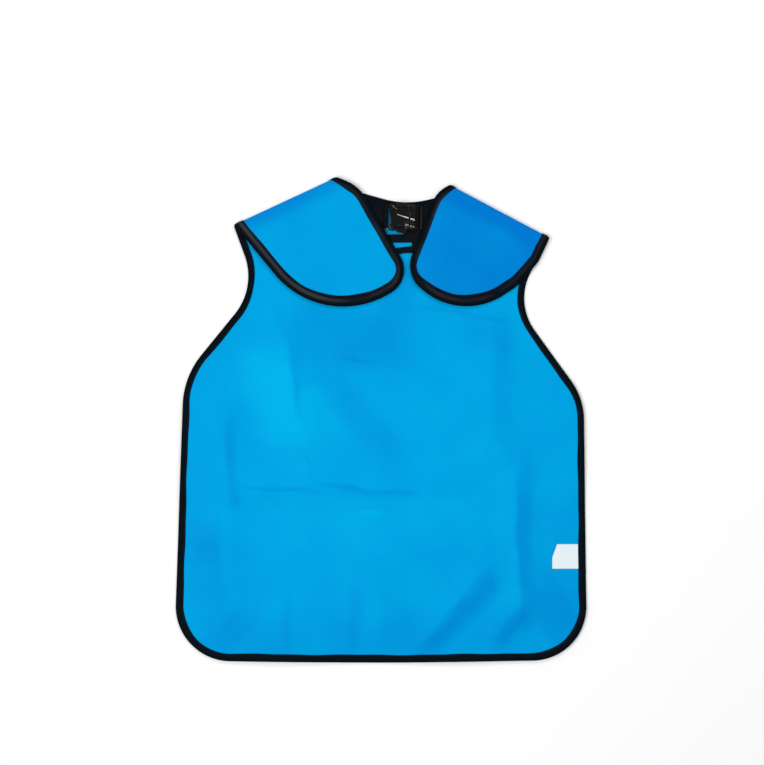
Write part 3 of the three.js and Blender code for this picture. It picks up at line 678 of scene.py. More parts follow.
def panel_tape(name, node, path, folds, faced=False):
    """Tape along an edge of the panel, wider towards the hem. On the neckline its front leg is a facing that reaches
    down to the strap."""
    points, inward = path
    run = np.arange(len(points)) * EDGE_STEP
    near_end = 1 - smooth_step(np.minimum(run, run[-1] - run), 0, MITRE_FADE)
    if faced:
        wide = np.clip((points[:, 1] - FACING_LOW) / -inward[:, 1], FACING_SHORTEST, FACING_LONGEST)
    else:
        wide = HEM_LEG + HEM_LEG_MORE * smooth_step(-points[:, 1], *HEM_LEG_RANGE) + waves(WANDER, run)
    front = wide + (FRONT_LEG - wide) * near_end
    for fold, from_end in zip(folds, (run, run[-1] - run)):
        inward = turned_along(inward, fold["along"], 1 - smooth_step(from_end, 0, MITRE_FADE))
    plan, up, flat = tape_rings(points, inward, front, np.full(len(points), BACK_LEG))
    return finish_tape(name, node, on_panel(plan, up), flat), (points, inward, front)


def flap_tape(name, node, side, shoulder, tip, leg, more_below, less_at_tip):
    """Tape along a flap's edge. The flap lies face down, so its back leg shows, longest along the lower edge and
    shortest round the tip and over the fold."""
    points, inward = rounded_path(shoulder["edge"], EDGE_STEP)
    upward = np.clip(inward[:, 0] * shoulder["along"][1] - inward[:, 1] * shoulder["out"][1], 0, 1)
    from_tip = np.linalg.norm(points - shoulder["corners"][tip, :2], axis=1)
    bend = 1 - smooth_step(points[:, 1], FOLD_LENGTH, FOLD_LENGTH + MITRE_FADE)
    run = np.arange(len(points)) * EDGE_STEP
    flat_leg = leg + more_below * upward - less_at_tip * np.exp(-(from_tip / TIP_REACH) ** 2) + waves(WANDER, run)
    fold_leg = np.linspace(*FOLD_LEGS[side], len(points))
    back = flat_leg * (1 - bend) + fold_leg * np.abs(inward[:, 0]) * bend
    inward = turned_along(inward, np.array([1.0, 0.0]), bend)
    kept = points[:, 1] > -EDGE_STEP / 2
    points, inward, back = points[kept], inward[kept], back[kept]
    plan, up, flat = tape_rings(points, inward, np.full(len(points), FRONT_LEG), back)
    rings = on_shoulder(shoulder, plan, up)
    return finish_tape(name, node, rings, flat), (points, inward, back)


def finish_tape(name, node, rings, flat):
    """The tape's piece, pressed flat where it would reach below the table."""
    rings[..., 2] = np.maximum(rings[..., 2], 0)
    return tube_piece(name, rings, flat, "binding", node)


hem_tape, hem_sewn = panel_tape("hem_tape", "hem_binding", hem_path, (left_shoulder, right_shoulder))
neck_tape, neck_sewn = panel_tape("neckline_tape", "neckline_binding", neck_path, (right_shoulder, left_shoulder), True)
left_tape, left_sewn = flap_tape("left_flap_tape", "left_flap_binding", "left", left_shoulder, 1, 12.0, 3.8, 0.0)
right_tape, right_sewn = flap_tape("right_flap_tape", "right_flap_binding", "right", right_shoulder, 3, 10.6, 5.8, 3.2)
tapes = [hem_tape, neck_tape, left_tape, right_tape]

# %% [markdown]
# ## Stitches
#
# A lockstitch shows as a row of short thread humps near the tape's inner edge. Each is a small closed spindle,
# and all of them are made at once: one spindle's points are multiplied out over every place in the row.

# %% Stitch rows on the binding
STITCH_STEP, STITCH_LENGTH, STITCH_RADIUS = 3.8, 2.9, 0.26
STITCH_LIFT = 0.02
SPINDLE_RINGS, SPINDLE_AROUND = 5, 6
SPINDLE_TIP = 0.35  # how much of a half turn its blunt tips leave out


def stitch_rows(sewn, side, place):
    """Ends of the stitches: places every STITCH_STEP along the row, and a little before and after each of them."""
    points, inward, leg = sewn
    row = points + inward * (leg - STITCH_IN)[:, None]
    length = length_along(row)
    middle = np.arange(STITCH_STEP, length[-1] - STITCH_STEP, STITCH_STEP)
    ends = []
    for shift in (-STITCH_LENGTH / 2, STITCH_LENGTH / 2):
        plan = np.column_stack([np.interp(middle + shift, length, row[:, k]) for k in (0, 1)])
        ends.append(place(plan, np.full(len(plan), side * (TAPE_OUT + STITCH_LIFT))))
    return ends


def spindles(start, end, up):
    """Closed spindles between two rows of points: a centre line, and a radius that is r sin(w) along it."""
    w = np.linspace(SPINDLE_TIP, math.pi - SPINDLE_TIP, SPINDLE_RINGS)
    turn = np.arange(SPINDLE_AROUND) * 2 * math.pi / SPINDLE_AROUND
    ahead = (end - start) / np.linalg.norm(end - start, axis=1, keepdims=True)
    sideways = np.cross(up, ahead)
    share = (0.5 - 0.5 * np.cos(w) / np.cos(SPINDLE_TIP))[None, :, None, None]
    radius = STITCH_RADIUS * np.sin(w)[None, :, None, None]
    ring = np.cos(turn)[:, None] * up[:, None, None] + np.sin(turn)[:, None] * sideways[:, None, None]
    return start[:, None, None] + share * (end - start)[:, None, None] + radius * ring


SEWN_ROWS = [
    (hem_sewn, 1, on_panel),
    (neck_sewn, 1, on_panel),
    (left_sewn, -1, partial(on_shoulder, left_shoulder)),
    (right_sewn, -1, partial(on_shoulder, right_shoulder)),
]
stitch_ends = [np.vstack(ends) for ends in zip(*(stitch_rows(*row) for row in SEWN_ROWS))]
stitch_points = spindles(*stitch_ends, np.tile([0.0, 0.0, 1.0], (len(stitch_ends[0]), 1)))
one_stitch = closed_tube(stitch_points[0])
stitch_quads = one_stitch[None] + (np.arange(len(stitch_points)) * SPINDLE_RINGS * SPINDLE_AROUND)[:, None, None]
stitch_points = stitch_points.reshape(-1, 3)
stitches = new_piece("binding_stitches", stitch_points, stitch_quads.reshape(-1, 4), stitch_points[:, :2], "binding")

# %% [markdown]
# ## Neck straps and hanging loop
#
# The strap is flat webbing, made directly from its path seen from the side: under the buckle's bar, up through
# the slot and back over it. The hanging loop is a narrower tape that runs across and turns back.

# %% Webbing
STRAP_WIDTH, STRAP_Y = 30.1, 294.3
STRAP_Z = PANEL_TOP + GAP + WEBBING / 2
LEFT_STRAP_END, RIGHT_STRAP_END = -62.0, 124.0
STRAP_ROUND = 0.85
BUCKLE_X, BUCKLE_Z = 5.7, PANEL_TOP + TAPE_GAP + TAPE + GAP
SOCKET_BAR, SOCKET_BAR_TOP = (0.0, 3.0), 3.6
PLUG_BAR, PLUG_TOP, PLUG_LOW = (46.0, 48.4), 5.2, 0.4
STRAP_STEP = 0.5
SELVEDGE = 0.3  # share of a band's thickness that is left at its edge


def band_section(half_width, half_thick, columns=17, power=6.0):
    """A flat band's section with rounded edges: half thickness h (1 - |w|^p)^(1/2), with a thin selvedge left."""
    w = np.sin(np.linspace(-math.pi / 2, math.pi / 2, columns))
    h = half_thick * np.maximum(np.sqrt(1 - np.abs(w) ** power), SELVEDGE)
    return np.concatenate([w, w[::-1]]) * half_width, np.concatenate([h, -h[::-1]])


def strap(name, node, corners):
    """Webbing along a path seen from the side, x along and z up, with its section's width across y."""
    points, normal = rounded_path(corners, STRAP_STEP)
    across, off = band_section(STRAP_WIDTH / 2, WEBBING / 2)
    side = points[:, None] + normal[:, None] * off[None, :, None]
    y = np.broadcast_to(STRAP_Y + across, side.shape[:2])
    rings = np.stack([side[..., 0], y, side[..., 1]], axis=-1)
    flat = flat_place(np.arange(len(points)) * STRAP_STEP, across)
    return tube_piece(name, rings, flat, "webbing", node)


def over_bar(bar, top, far, start):
    """Corners of a strap that comes from start, goes up past the bar's right side, over it and down at its left."""
    clear = GAP + WEBBING / 2
    left, right = BUCKLE_X + bar[0] - clear, BUCKLE_X + bar[1] + clear
    over = BUCKLE_Z + top + clear
    turns = [(x, z, STRAP_ROUND) for x, z in ((right, STRAP_Z), (right, over), (left, over))]
    return [(start, STRAP_Z), *turns, (left, far)]


left_strap = strap(
    "left_webbing", "left_strap", over_bar(SOCKET_BAR, SOCKET_BAR_TOP, STRAP_Z + WEBBING / 2 + GAP, LEFT_STRAP_END),
)
right_strap = strap(
    "right_webbing", "right_strap", over_bar(PLUG_BAR, PLUG_TOP, BUCKLE_Z + PLUG_LOW, RIGHT_STRAP_END),
)

# %% Hanging loop
LOOP_PATH = [(-12, 264), (50, 264.4, 6.6), (50, 249.2, 6.6), (-12, 241.6)]
LOOP_SHARES = 0, 0.33, 0.37, 0.40, 0.42, 0.44, 0.46, 0.48, 0.50, 0.53, 0.57, 0.62, 1  # places along the loop
LOOP_OUTER = 6.0, 6.0, 12.0, 14.5, 16.0, 18.5, 20.0, 19.0, 15.0, 11.0, 6.0, 4.7, 4.7  # middle to outer edge there
LOOP_INNER = 6.2, 6.2, 6.2, 6.2, 6.0, 5.8, 5.5, 5.2, 5.0, 4.8, 4.6, 4.6, 4.6
LOOP_STEP = 0.5
LOOP_RISE, LOOP_SPAN = 0.3, 60.0  # how high it stands in the middle
LOOP_WEAVE = 5.0  # half width of its woven pattern

loop_points, loop_left = rounded_path(LOOP_PATH, LOOP_STEP)
loop_share = np.linspace(0, 1, len(loop_points))
loop_outer, loop_inner = (np.interp(loop_share, LOOP_SHARES, side)[:, None] for side in (LOOP_OUTER, LOOP_INNER))
loop_across, loop_off = band_section(1.0, LOOP_TAPE / 2)
loop_side = np.where(loop_across > 0, loop_outer, loop_inner) * loop_across
loop_plan = loop_points[:, None] + loop_left[:, None] * loop_side[..., None]
loop_rise = LOOP_RISE * np.sin(math.pi * np.clip(loop_plan[..., 0] / LOOP_SPAN, 0, 1))
loop_rings = raised(loop_plan, PANEL_TOP + GAP + LOOP_TAPE / 2 + loop_rise + loop_off)
loop_flat = flat_place(loop_share * len(loop_points) * LOOP_STEP, LOOP_WEAVE * loop_across)
loop = tube_piece("loop_tape", loop_rings, loop_flat, "webbing", "hanging_loop")

# %% [markdown]
# ## Label
#
# A small white label is sewn in under the binding on the right, cut off slanting at one corner. It is left blank.
# It lies on the panel, so its heights are the panel's own, with its free corners lifting a little.

# %% Label
LABEL = 0.3
LABEL_LEFT, LABEL_RIGHT, LABEL_LOW, LABEL_HIGH = 250.0, 291.4, -218.0, -182.0
LABEL_SLANT = 7.0, 20.0
LABEL_COLUMNS, LABEL_ROWS = 28, 26
LABEL_GAP, LABEL_CURL, LABEL_CURL_EVEN = 0.05, 0.9, 0.4  # over the panel, at the free corners, and between them

label_u, label_v = np.linspace(0, 1, LABEL_COLUMNS), np.linspace(0, 1, LABEL_ROWS)
label_side = np.array([
    (LABEL_LEFT + LABEL_SLANT[0], LABEL_HIGH),
    (LABEL_LEFT, LABEL_HIGH - LABEL_SLANT[1]),
    (LABEL_LEFT, LABEL_LOW),
])
label_left = spread(label_side, -label_side[:, 1], label_v)
label_right = np.column_stack([np.full(LABEL_ROWS, LABEL_RIGHT), LABEL_HIGH + label_v * (LABEL_LOW - LABEL_HIGH)])
label_top = label_left[0] + label_u[:, None] * (label_right[0] - label_left[0])
label_bottom = label_left[-1] + label_u[:, None] * (label_right[-1] - label_left[-1])
label_flat = stretched(label_top, label_bottom, label_left, label_right, label_u, label_v)
label_curl = LABEL_CURL * (1 - label_u[None]) ** 2 * (LABEL_CURL_EVEN + (2 * label_v[:, None] - 1) ** 2)
label_points = on_panel(label_flat, SHEET / 2 + LABEL / 2 + LABEL_GAP + label_curl).reshape(-1, 3)
label_quads = quads_of(grid_index(LABEL_ROWS, LABEL_COLUMNS))
label = new_piece("label", label_points, label_quads, label_flat.reshape(-1, 2), "label", "side_label")
thicken(label, LABEL)

# %% [markdown]
# ## Buckle
#
# The buckle is a side-release one, moulded in two halves: a socket with a bar for one strap, and a plug whose
# two sprung arms show in the socket's sides, with a ladder for the other strap. Bevelling the plain solids would
# give edges but no crown, so each part is a row of rounded sections instead, with ledges cut into its top.

# %% Moulded parts
SIDE_POWER = 10
SIDE_ROOM = 0.9999  # keeps the two faces apart at the sides
SECTION_COLUMNS = 121


def moulded_rings(along, low, high, floor, top):
    """Sections across y from low to high and up z from floor to top, at each place along x. A section is a
    superellipse, z = (1 - |y|^n)^(1/n) in its own units, so its corners are round and its faces flat."""
    y = SIDE_ROOM * np.sin(np.linspace(-math.pi / 2, math.pi / 2, SECTION_COLUMNS))
    z = (1 - np.abs(y) ** SIDE_POWER) ** (1 / SIDE_POWER)
    y, z = np.concatenate([y, y[::-1]]), np.concatenate([z, -z[::-1]])
    middle, half = (np.asarray(high) + low) / 2, (np.asarray(high) - low) / 2
    centre, tall = (np.asarray(top) + floor) / 2, (np.asarray(top) - floor) / 2
    x, middle, half, centre, tall = (
        np.broadcast_to(np.asarray(c, float), along.shape)[:, None] for c in (along, middle, half, centre, tall)
    )
    return np.stack(np.broadcast_arrays(x, middle + half * y, centre + tall * z), axis=-1)


def rounded_ends(along, radius):
    """How far a section draws in towards both ends of a part: r - sqrt(r^2 - d^2) within a radius of an end."""
    inside = np.clip(np.minimum(along - along[0], along[-1] - along) / radius, 0, 1)
    return radius * (1 - np.sqrt(1 - (1 - inside) ** 2))


def places(start, end, count):
    """Places along a part, closer together at both ends, where it is rounded."""
    return start + (end - start) * (0.5 - 0.5 * np.cos(np.linspace(0, math.pi, count)))


def moulded_block(start, end, low, high, floor, top, radius=0.8, count=13):
    along = places(start, end, count)
    draw = rounded_ends(along, radius)
    return moulded_rings(along, low + draw, high - draw, floor + draw * 0.6, top - draw * 0.6)


def moulded_piece(name, node, parts):
    """Closed parts joined into one piece, moved to the buckle's place."""
    points, quads, start = [], [], 0
    for rings in parts:
        points.append(rings.reshape(-1, 3) + (BUCKLE_X, STRAP_Y, BUCKLE_Z))
        quads.append(closed_tube(rings) + start)
        start += len(points[-1])
    points = np.vstack(points)
    return new_piece(name, points, np.vstack(quads), points[:, :2], "buckle", node)


# %% Ledges on the buckle's top
LEDGE_SLOPE, LEDGE_SLOPE_LOW = 0.27, 0.38  # the lower one is on the crown's far side
THUMB_START, THUMB_FADE, THUMB_HOLLOW = 16.9, (15.5, 18.0), 12.0
THUMB_UPPER, THUMB_LOWER = (5.0, 0.265), (4.0, 0.375)  # a line's y at the start, and its fall along the buckle
SHORT_END, SHORT_FADE, SHORT_HOLLOW = 42.3, (27.5, 29.5), 3.0
SHORT_Y, SHORT_RISE, SHORT_ABOVE, SHORT_BELOW = -14.6, 0.33, 1.7, 1.2  # at the end, and the ledge's two sides
TOP_CROWN, TOP_HALF = 1.5, 19.0


def ledge(y, slope, upper_line, lower_line, fade):
    """A ledge that looks towards +y, at the lower side of a hollow: the hollow is deepest at the upper line, climbs
    from there by the ledge's slope to the lower line, and fades out above over a distance."""
    depth = slope * np.clip(y - lower_line, 0, upper_line - lower_line)
    return -depth * (1 - smooth_step(y - upper_line, 0, fade))


def ledges(x, y):
    """The slanting ledge that the thumb rests on, wider towards the plug, and a short one below it."""
    past = np.maximum(x - THUMB_START, 0)
    upper, lower = (start - fall * past for start, fall in (THUMB_UPPER, THUMB_LOWER))
    slanting = ledge(y, LEDGE_SLOPE, upper, lower, THUMB_HOLLOW)
    line = SHORT_Y + SHORT_RISE * np.maximum(SHORT_END - x, 0)
    short = ledge(y, LEDGE_SLOPE_LOW, line + SHORT_ABOVE, line - SHORT_BELOW, SHORT_HOLLOW)
    return slanting * smooth_step(x, *THUMB_FADE) + short * smooth_step(x, *SHORT_FADE)


def shape_top(rings):
    """Lowers the upper row of each section by the crown, c (y / h)^2, and cuts the ledges into it."""
    top = rings[:, :SECTION_COLUMNS]
    x, y = top[..., 0], top[..., 1]
    top[..., 2] += ledges(x, y) - TOP_CROWN * (y / TOP_HALF) ** 2


# %% Socket
SOCKET_START, SOCKET_END, SOCKET_FLOOR, SOCKET_TOP, SOCKET_ROUND = 7.2, 36.0, 0.1, 10.5, 1.4
SOCKET_HALF, SWELL, SWELL_END, NARROWING = 18.4, 1.2, 12.0, 0.8
WAIST, WAIST_FROM, WAIST_TO = 5.0, (11.6, 16.6), (28.5, 31.5)  # the sides draw in where the arms show
SLANT, SLANT_END = 0.09, 16.0  # of the slot beside the bar
SLOT_LOW, SLOT_STEP, SLOT_FADE = -9.0, 2.4, 1.5  # where that slot ends, and how the body closes it


def socket_half(x):
    """Half the socket's breadth: it swells behind the bar, narrows to the plug, and has a waist at the arms."""
    swell = SWELL * smooth_step(x, SOCKET_START, SWELL_END) - NARROWING * smooth_step(x, SWELL_END, SOCKET_END)
    return SOCKET_HALF + swell - WAIST * (smooth_step(x, *WAIST_FROM) - smooth_step(x, *WAIST_TO))


along = places(SOCKET_START, SOCKET_END, 65)
draw = rounded_ends(along, SOCKET_ROUND)
half = socket_half(along) - draw
body = moulded_rings(along, -half, half, SOCKET_FLOOR + draw, SOCKET_TOP - draw)
shape_top(body)
slot_edge = SLANT * body[..., 1] + SLOT_STEP * smooth_step(SLOT_LOW - body[..., 1], 0, SLOT_FADE)
body[..., 0] -= slot_edge * (1 - smooth_step(body[..., 0], SOCKET_START, SLANT_END))

# %% Frame round the socket's bar
FRAME_START, FRAME_END, FRAME_SIDE, FRAME_ROUND, FRAME_STEP = 1.5, 8.6, 16.9, 2.6, 0.8
RAIL_HALF, RAIL_THICK, RAIL_Z = 1.5, 1.6, 2.0
FRAME_CORNER, CORNER_REACH, CORNER_LEAN = (4.0, -16.6), 4.5, 0.3  # where the frame's top is worn slanting

frame_turns = [(FRAME_START, side * FRAME_SIDE, FRAME_ROUND) for side in (-1, 1)]
frame_path, frame_left = rounded_path(
    [(FRAME_END, -FRAME_SIDE), *frame_turns, (FRAME_END, FRAME_SIDE)], FRAME_STEP,
)
rail, rail_up = band_section(RAIL_HALF, RAIL_THICK, 25, 5.0)
rail_plan = frame_path[:, None] + frame_left[:, None] * rail[None, :, None]
from_corner = rail_plan - FRAME_CORNER
worn = LEDGE_SLOPE * np.exp(-np.sum((from_corner / CORNER_REACH) ** 2, axis=-1))
rail_z = RAIL_Z + rail_up - worn * (from_corner[..., 1] + CORNER_LEAN * from_corner[..., 0])
socket = moulded_piece("socket", "buckle_socket", [body, raised(rail_plan, rail_z)])

# %% Plug's arms
ARM_START, ARM_END, ARM_OUT, ARM_FLOOR, ARM_TOP, ARM_ROUND = 12.6, 31.4, 21.4, 2.3, 8.9, 2.0
ARM_DRAWN, ARM_DRAWN_TO, ARM_THINNEST = 3.4, (12, 19.5), 0.4  # an arm's tip lies closer to the socket
RIB, RIB_STEP, RIBS_FROM, RIBS_TO = 0.22, 1.5, (19, 21), (26, 28)
PRESSED, PRESSED_FROM = 1.9, (16, 27)  # the lower arm stands further out towards the plug

along = places(ARM_START, ARM_END, 61)
draw = rounded_ends(along, ARM_ROUND)
ribs = RIB * np.cos(along * 2 * math.pi / RIB_STEP) * (smooth_step(along, *RIBS_FROM) - smooth_step(along, *RIBS_TO))
arm_in = socket_half(along) + GAP
arm_out = ARM_OUT - ARM_DRAWN * (1 - smooth_step(along, *ARM_DRAWN_TO)) - draw + ribs
arm_out = np.maximum(arm_out, arm_in + ARM_THINNEST)
pressed_out = PRESSED * smooth_step(along, *PRESSED_FROM)
arms = [
    moulded_rings(along, low, high, ARM_FLOOR + 0.5 * draw, ARM_TOP - 0.6 * draw)
    for low, high in ((arm_in, arm_out), (-arm_out - pressed_out, -arm_in))
]

# %% Plug
PLUG_BLOCKS = [  # start, end, low, high, floor, top, radius of its ends, sections
    (36.3, 44.4, -18.4, 18.4, 0.9, 9.9, 0.8, 25),  # shoulder that meets the socket
    (41.4, 54.4, -17.45, -15.55, PLUG_LOW, PLUG_TOP, 0.9),  # sides of the ladder
    (41.4, 54.4, 15.55, 17.45, PLUG_LOW, PLUG_TOP, 0.9),
    (*PLUG_BAR, -16.4, 16.4, 0.5, 5.1, 0.7),  # its bars
    (51.6, 54.4, -16.4, 16.4, 0.5, 5.1, 0.7),
]
plug_blocks = [moulded_block(*row) for row in PLUG_BLOCKS]
shape_top(plug_blocks[0])
plug = moulded_piece("plug", "buckle_plug", [*arms, *plug_blocks])

# %% [markdown]
# ## Finishes
#
# Two effects come back in several finishes, so each is a node group: woven threads, and a soft mottling. A group
# only gives heights and masks. Each finish has its own shader, where the numbers that don't vary are set.

# %% Node groups
def new_group(name, amount, result):
    """An empty group with a vector and one amount going in, and one value coming out."""
    group = bpy.data.node_groups.new(name, "ShaderNodeTree")
    group.interface.new_socket("Vector", in_out="INPUT", socket_type="NodeSocketVector")
    group.interface.new_socket(amount, in_out="INPUT", socket_type="NodeSocketFloat")
    group.interface.new_socket(result, in_out="OUTPUT", socket_type="NodeSocketFloat")
    return group, group.nodes.new("NodeGroupInput").outputs, group.nodes.new("NodeGroupOutput").inputs


def math_node(tree, operation, *inputs):
    """The result of a math node whose inputs are sockets or plain numbers."""
    node = tree.nodes.new("ShaderNodeMath")
    node.operation = operation
    for plug_in, value in zip(node.inputs, inputs):
        if isinstance(value, bpy.types.NodeSocket):
            tree.links.new(value, plug_in)
        else:
            plug_in.default_value = value
    return node.outputs[0]


def woven_group():
    """Height = the warp thread's round back where a checker is 0, and the weft's where it is 1."""
    group, given, result = new_group("Woven Threads", "Threads", "Height")
    work = partial(math_node, group)
    split = group.nodes.new("ShaderNodeSeparateXYZ")
    group.links.new(given["Vector"], split.inputs[0])
    x, y = (work("MULTIPLY", split.outputs[k], given["Threads"]) for k in (0, 1))
    warp, weft = (work("ABSOLUTE", work("SINE", work("MULTIPLY", way, math.pi))) for way in (x, y))
    cells = work("ADD", work("FLOOR", x), work("FLOOR", y))
    checker = work("MODULO", work("ABSOLUTE", cells), 2.0)
    warp = work("MULTIPLY", warp, work("SUBTRACT", 1.0, checker))
    group.links.new(work("MULTIPLY_ADD", weft, checker, warp), result["Height"])
    return group


def mottle_group():
    """A soft cloudy value round 0: noise with three finer layers, less a half."""
    group, given, result = new_group("Soft Mottle", "Scale", "Value")
    noise = group.nodes.new("ShaderNodeTexNoise")
    noise.inputs["Detail"].default_value = 3.0
    noise.inputs["Roughness"].default_value = 0.45
    for name in ("Vector", "Scale"):
        group.links.new(given[name], noise.inputs[name])
    group.links.new(math_node(group, "SUBTRACT", noise.outputs["Fac"], 0.5), result["Value"])
    return group


WOVEN, MOTTLE = woven_group(), mottle_group()


# %% Material helpers
class Finish:
    """A material with its shader, and shorthand for the nodes that these finishes share."""

    def __init__(self, name, **values):
        self.material = bpy.data.materials.new(name)
        self.material.use_nodes = True
        self.tree = self.material.node_tree
        self.shader = self.tree.nodes["Principled BSDF"]
        for socket_name, value in values.items():
            self.shader.inputs[socket_name.replace("_", " ")].default_value = value
        self.spot = self.tree.nodes.new("ShaderNodeTexCoord").outputs

    def link(self, source, target):
        self.tree.links.new(source, target)

    def set(self, socket_name, source):
        """Lets a value that varies drive one of the shader's own sockets."""
        self.link(source, self.shader.inputs[socket_name])

    def use(self, group, vector, **values):
        node = self.tree.nodes.new("ShaderNodeGroup")
        node.node_tree = group
        self.link(vector, node.inputs["Vector"])
        for socket_name, value in values.items():
            node.inputs[socket_name].default_value = value
        return node.outputs[0]

    def blend(self, factor, first, second):
        node = self.tree.nodes.new("ShaderNodeMix")
        node.data_type = "RGBA"
        self.link(factor, node.inputs["Factor"])
        targets = [s for s in node.inputs if s.type == "RGBA"]
        for target, value in zip(targets, (first, second)):
            if isinstance(value, bpy.types.NodeSocket):
                self.link(value, target)
            else:
                target.default_value = (*value, 1)
        return [s for s in node.outputs if s.type == "RGBA"][0]

    def math(self, operation, *inputs):
        return math_node(self.tree, operation, *inputs)

    def within(self, *inputs):
        """The first value times the second, plus the third, kept between 0 and 1."""
        value = self.math("MULTIPLY_ADD", *inputs)
        value.node.use_clamp = True
        return value

    def axis(self, spot, name):
        """One axis of the piece's own coordinates."""
        node = self.tree.nodes.new("ShaderNodeSeparateXYZ")
        self.link(self.spot[spot], node.inputs[0])
        return node.outputs[name]

    def clouds(self, scale):
        return self.use(MOTTLE, self.spot["Object"], Scale=scale)

    def mottled(self, scale, first, second, rough=None):
        """A colour between two tones by soft clouds, and a roughness of their share a and a middle b, a v + b."""
        clouds = self.clouds(scale)
        self.set("Base Color", self.blend(self.math("ADD", clouds, 0.5), first, second))
        if rough:
            self.set("Roughness", self.math("MULTIPLY_ADD", clouds, *rough))

    def bump(self, height, depth_mm, strength=1.0):
        node = self.tree.nodes.new("ShaderNodeBump")
        node.inputs["Strength"].default_value = strength
        node.inputs["Distance"].default_value = depth_mm * MM
        self.link(height, node.inputs["Height"])
        self.set("Normal", node.outputs[0])

    def woven(self, threads, depth_mm, strength):
        """Threads to the metre, in relief."""
        self.bump(self.use(WOVEN, self.spot["UV"], Threads=threads), depth_mm, strength)

    def put_on(self, *pieces):
        for piece in pieces:
            piece.data.materials.clear()
            piece.data.materials.append(self.material)


# %% Blue coated cover
COVER_LIGHT, COVER_DEEP = (0.0, 0.400, 0.735), (0.0, 0.175, 0.575)
blue = Finish("coated_cover", Specular_IOR_Level=0.008)
# The tone attribute, with its painted light and shade, sets how deep the blue is.
tone_node = blue.tree.nodes.new("ShaderNodeAttribute")
tone_node.attribute_name = "tone"
share = blue.within(blue.clouds(13.0), 0.4, tone_node.outputs["Fac"])
blue.set("Base Color", blue.blend(share, COVER_LIGHT, COVER_DEEP))
blue.set("Roughness", blue.math("MULTIPLY_ADD", blue.clouds(45.0), 0.25, 0.5))
blue.woven(1400.0, 0.02, 0.35)
blue.put_on(cover)

# %% Black binding tape and thread
# The pale grey is a painted sheen on the tapes' crowns, standing in for light gleaming on them.
BLACK_DEEP, BLACK_PALE, PAINTED_SHEEN = (0.001, 0.0034, 0.006), (0.002, 0.0056, 0.0105), (0.040, 0.043, 0.052)
SHEEN_MIDDLE, SHEEN_REACH = 0.0085, 0.0036  # painted sheen: the back leg is drawn grey along its crown, in metres from the edge
SHEEN_RIGHT, SHEEN_FADE = -0.07, 0.04  # and most towards the left, where the light falls, in metres of x
black = Finish("binding_tape", Specular_IOR_Level=0.02)
dust = black.clouds(60.0)
plain_black = black.blend(black.within(dust, 0.8, 0.4), BLACK_DEEP, BLACK_PALE)
# Mask of the painted sheen: the crown, patchy, and strongest on the left.
off_crown = black.math("MULTIPLY_ADD", black.axis("UV", "Y"), 1 / SHEEN_REACH, SHEEN_MIDDLE / SHEEN_REACH)
crown = black.within(black.math("MULTIPLY", off_crown, off_crown), -1.0, 1.0)
sheen_side = black.within(black.axis("Object", "X"), -1 / SHEEN_FADE, SHEEN_RIGHT / SHEEN_FADE)
sheen_amount = black.within(sheen_side, 0.5, black.math("MULTIPLY_ADD", black.clouds(14.0), 1.6, 0.22))
black.set("Base Color", black.blend(black.math("MULTIPLY", crown, sheen_amount), plain_black, PAINTED_SHEEN))
black.set("Roughness", black.math("MULTIPLY_ADD", dust, 0.3, 0.5))
black.woven(1100.0, 0.06, 0.6)
black.put_on(*tapes)

thread = Finish("sewing_thread", Roughness=0.45, Specular_IOR_Level=0.3)
thread.mottled(900.0, (0.004, 0.004, 0.005), (0.012, 0.012, 0.015))
thread.put_on(stitches)

# %% Black webbing
web = Finish("neck_webbing", Specular_IOR_Level=0.06)
web.mottled(80.0, (0.0012, 0.002, 0.004), (0.003, 0.004, 0.007), rough=(0.3, 0.6))
web.woven(620.0, 0.18, 0.8)
web.put_on(left_strap, right_strap, loop)

# %% Glossy buckle plastic
plastic = Finish("buckle_plastic", Specular_IOR_Level=0.25)
plastic.mottled(130.0, (0.001, 0.001, 0.0015), (0.003, 0.003, 0.004), rough=(0.14, 0.13))
plastic.bump(plastic.clouds(700.0), 0.03, 0.3)
plastic.put_on(socket, plug)

# %% White label cloth
white = Finish("label_cloth", Specular_IOR_Level=0.3)
white.mottled(60.0, (0.66, 0.76, 0.80), (0.76, 0.84, 0.87), rough=(0.2, 0.55))
white.woven(1500.0, 0.03, 0.5)
white.put_on(label)
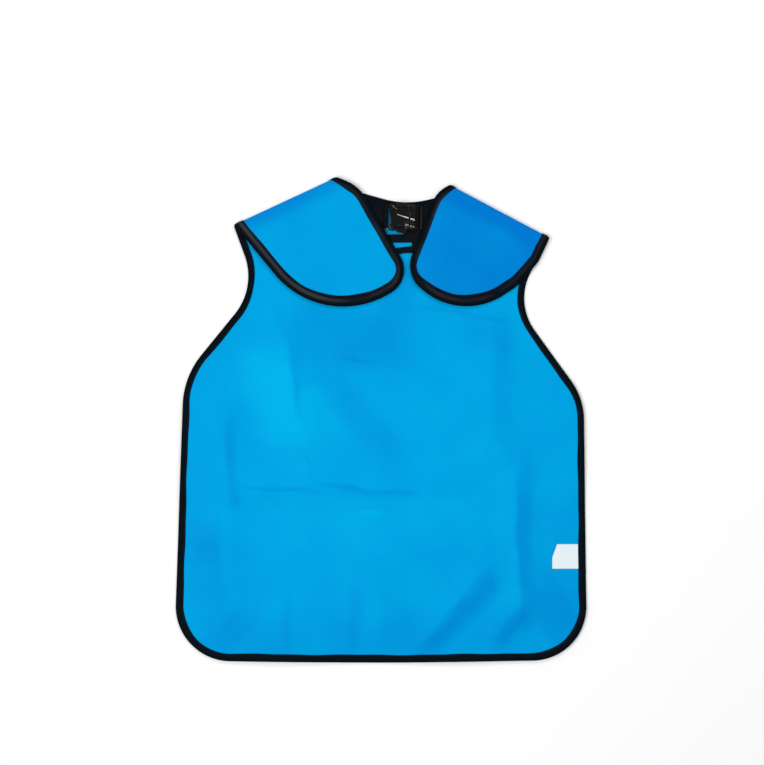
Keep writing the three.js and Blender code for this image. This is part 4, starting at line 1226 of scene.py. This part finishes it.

# %% [markdown]
# ## The cloth
#
# The cover is a sheet that was cut flat and then folded.

# %% [markdown]
# ## Table, light and camera
#
# The photograph looks straight down on a white table, in even light. A large soft light from the lower left gives
# the swells their shading, a weaker one fills from the right, a small one beyond the neck makes the buckle gleam,
# and the rest comes from all round.

# %% Floor
FLOOR_HALF, FLOOR_Z = 4.0, -0.0004  # in metres
floor_mesh = bpy.data.meshes.new("floor")
floor_mesh.from_pydata(
    [(x * FLOOR_HALF, y * FLOOR_HALF, FLOOR_Z) for x, y in ((-1, -1), (1, -1), (1, 1), (-1, 1))], [], [(0, 1, 2, 3)],
)
floor = bpy.data.objects.new("floor", floor_mesh)
bpy.context.scene.collection.objects.link(floor)
pale = Finish("pale_floor", Roughness=0.8, Specular_IOR_Level=0.1, Base_Color=(0.94, 0.94, 0.94, 1))
pale.put_on(floor)

# %% Light
LIGHTS = [  # name, place and size in metres, watts
    ("key", (-1.05, -0.35, 2.6), 1.8, 49),
    ("fill", (1.7, 0.5, 2.3), 2.0, 16),
    ("gleam", (0.5, 1.85, 2.3), 0.36, 15),
]
ALL_ROUND = 0.36


def soft_light(name, place, size, power):
    """An area light that faces the middle of the apron."""
    lamp = bpy.data.lights.new(name, "AREA")
    lamp.shape = "SQUARE"
    lamp.size = size
    lamp.energy = power
    light = bpy.data.objects.new(name, lamp)
    bpy.context.scene.collection.objects.link(light)
    light.location = place
    aim = -light.location.normalized()
    light.rotation_euler = aim.to_track_quat("-Z", "Y").to_euler()
    light.visible_camera = False


for row in LIGHTS:
    soft_light(*row)
world = bpy.data.worlds.new("studio")
bpy.context.scene.world = world
world.use_nodes = True
background = world.node_tree.nodes["Background"].inputs
background["Color"].default_value = (1, 1, 1, 1)
background["Strength"].default_value = ALL_ROUND
bpy.context.scene.view_settings.view_transform = "Standard"

# %% Camera
CAMERA_X, CAMERA_Y, CAMERA_HEIGHT = 0.00146, 0.054, 3.0
PANEL_MIDDLE = 4.0
FRAME_WIDTH = 1.1169  # what the photograph's longer side covers at the panel, in metres
SENSOR = 36.0
camera_data = bpy.data.cameras.new("camera")
camera_data.sensor_width = SENSOR
camera_data.lens = SENSOR * (CAMERA_HEIGHT - PANEL_MIDDLE * MM) / FRAME_WIDTH
camera = bpy.data.objects.new("camera", camera_data)
camera.location = CAMERA_X, CAMERA_Y, CAMERA_HEIGHT
bpy.context.scene.collection.objects.link(camera)
bpy.context.scene.camera = camera
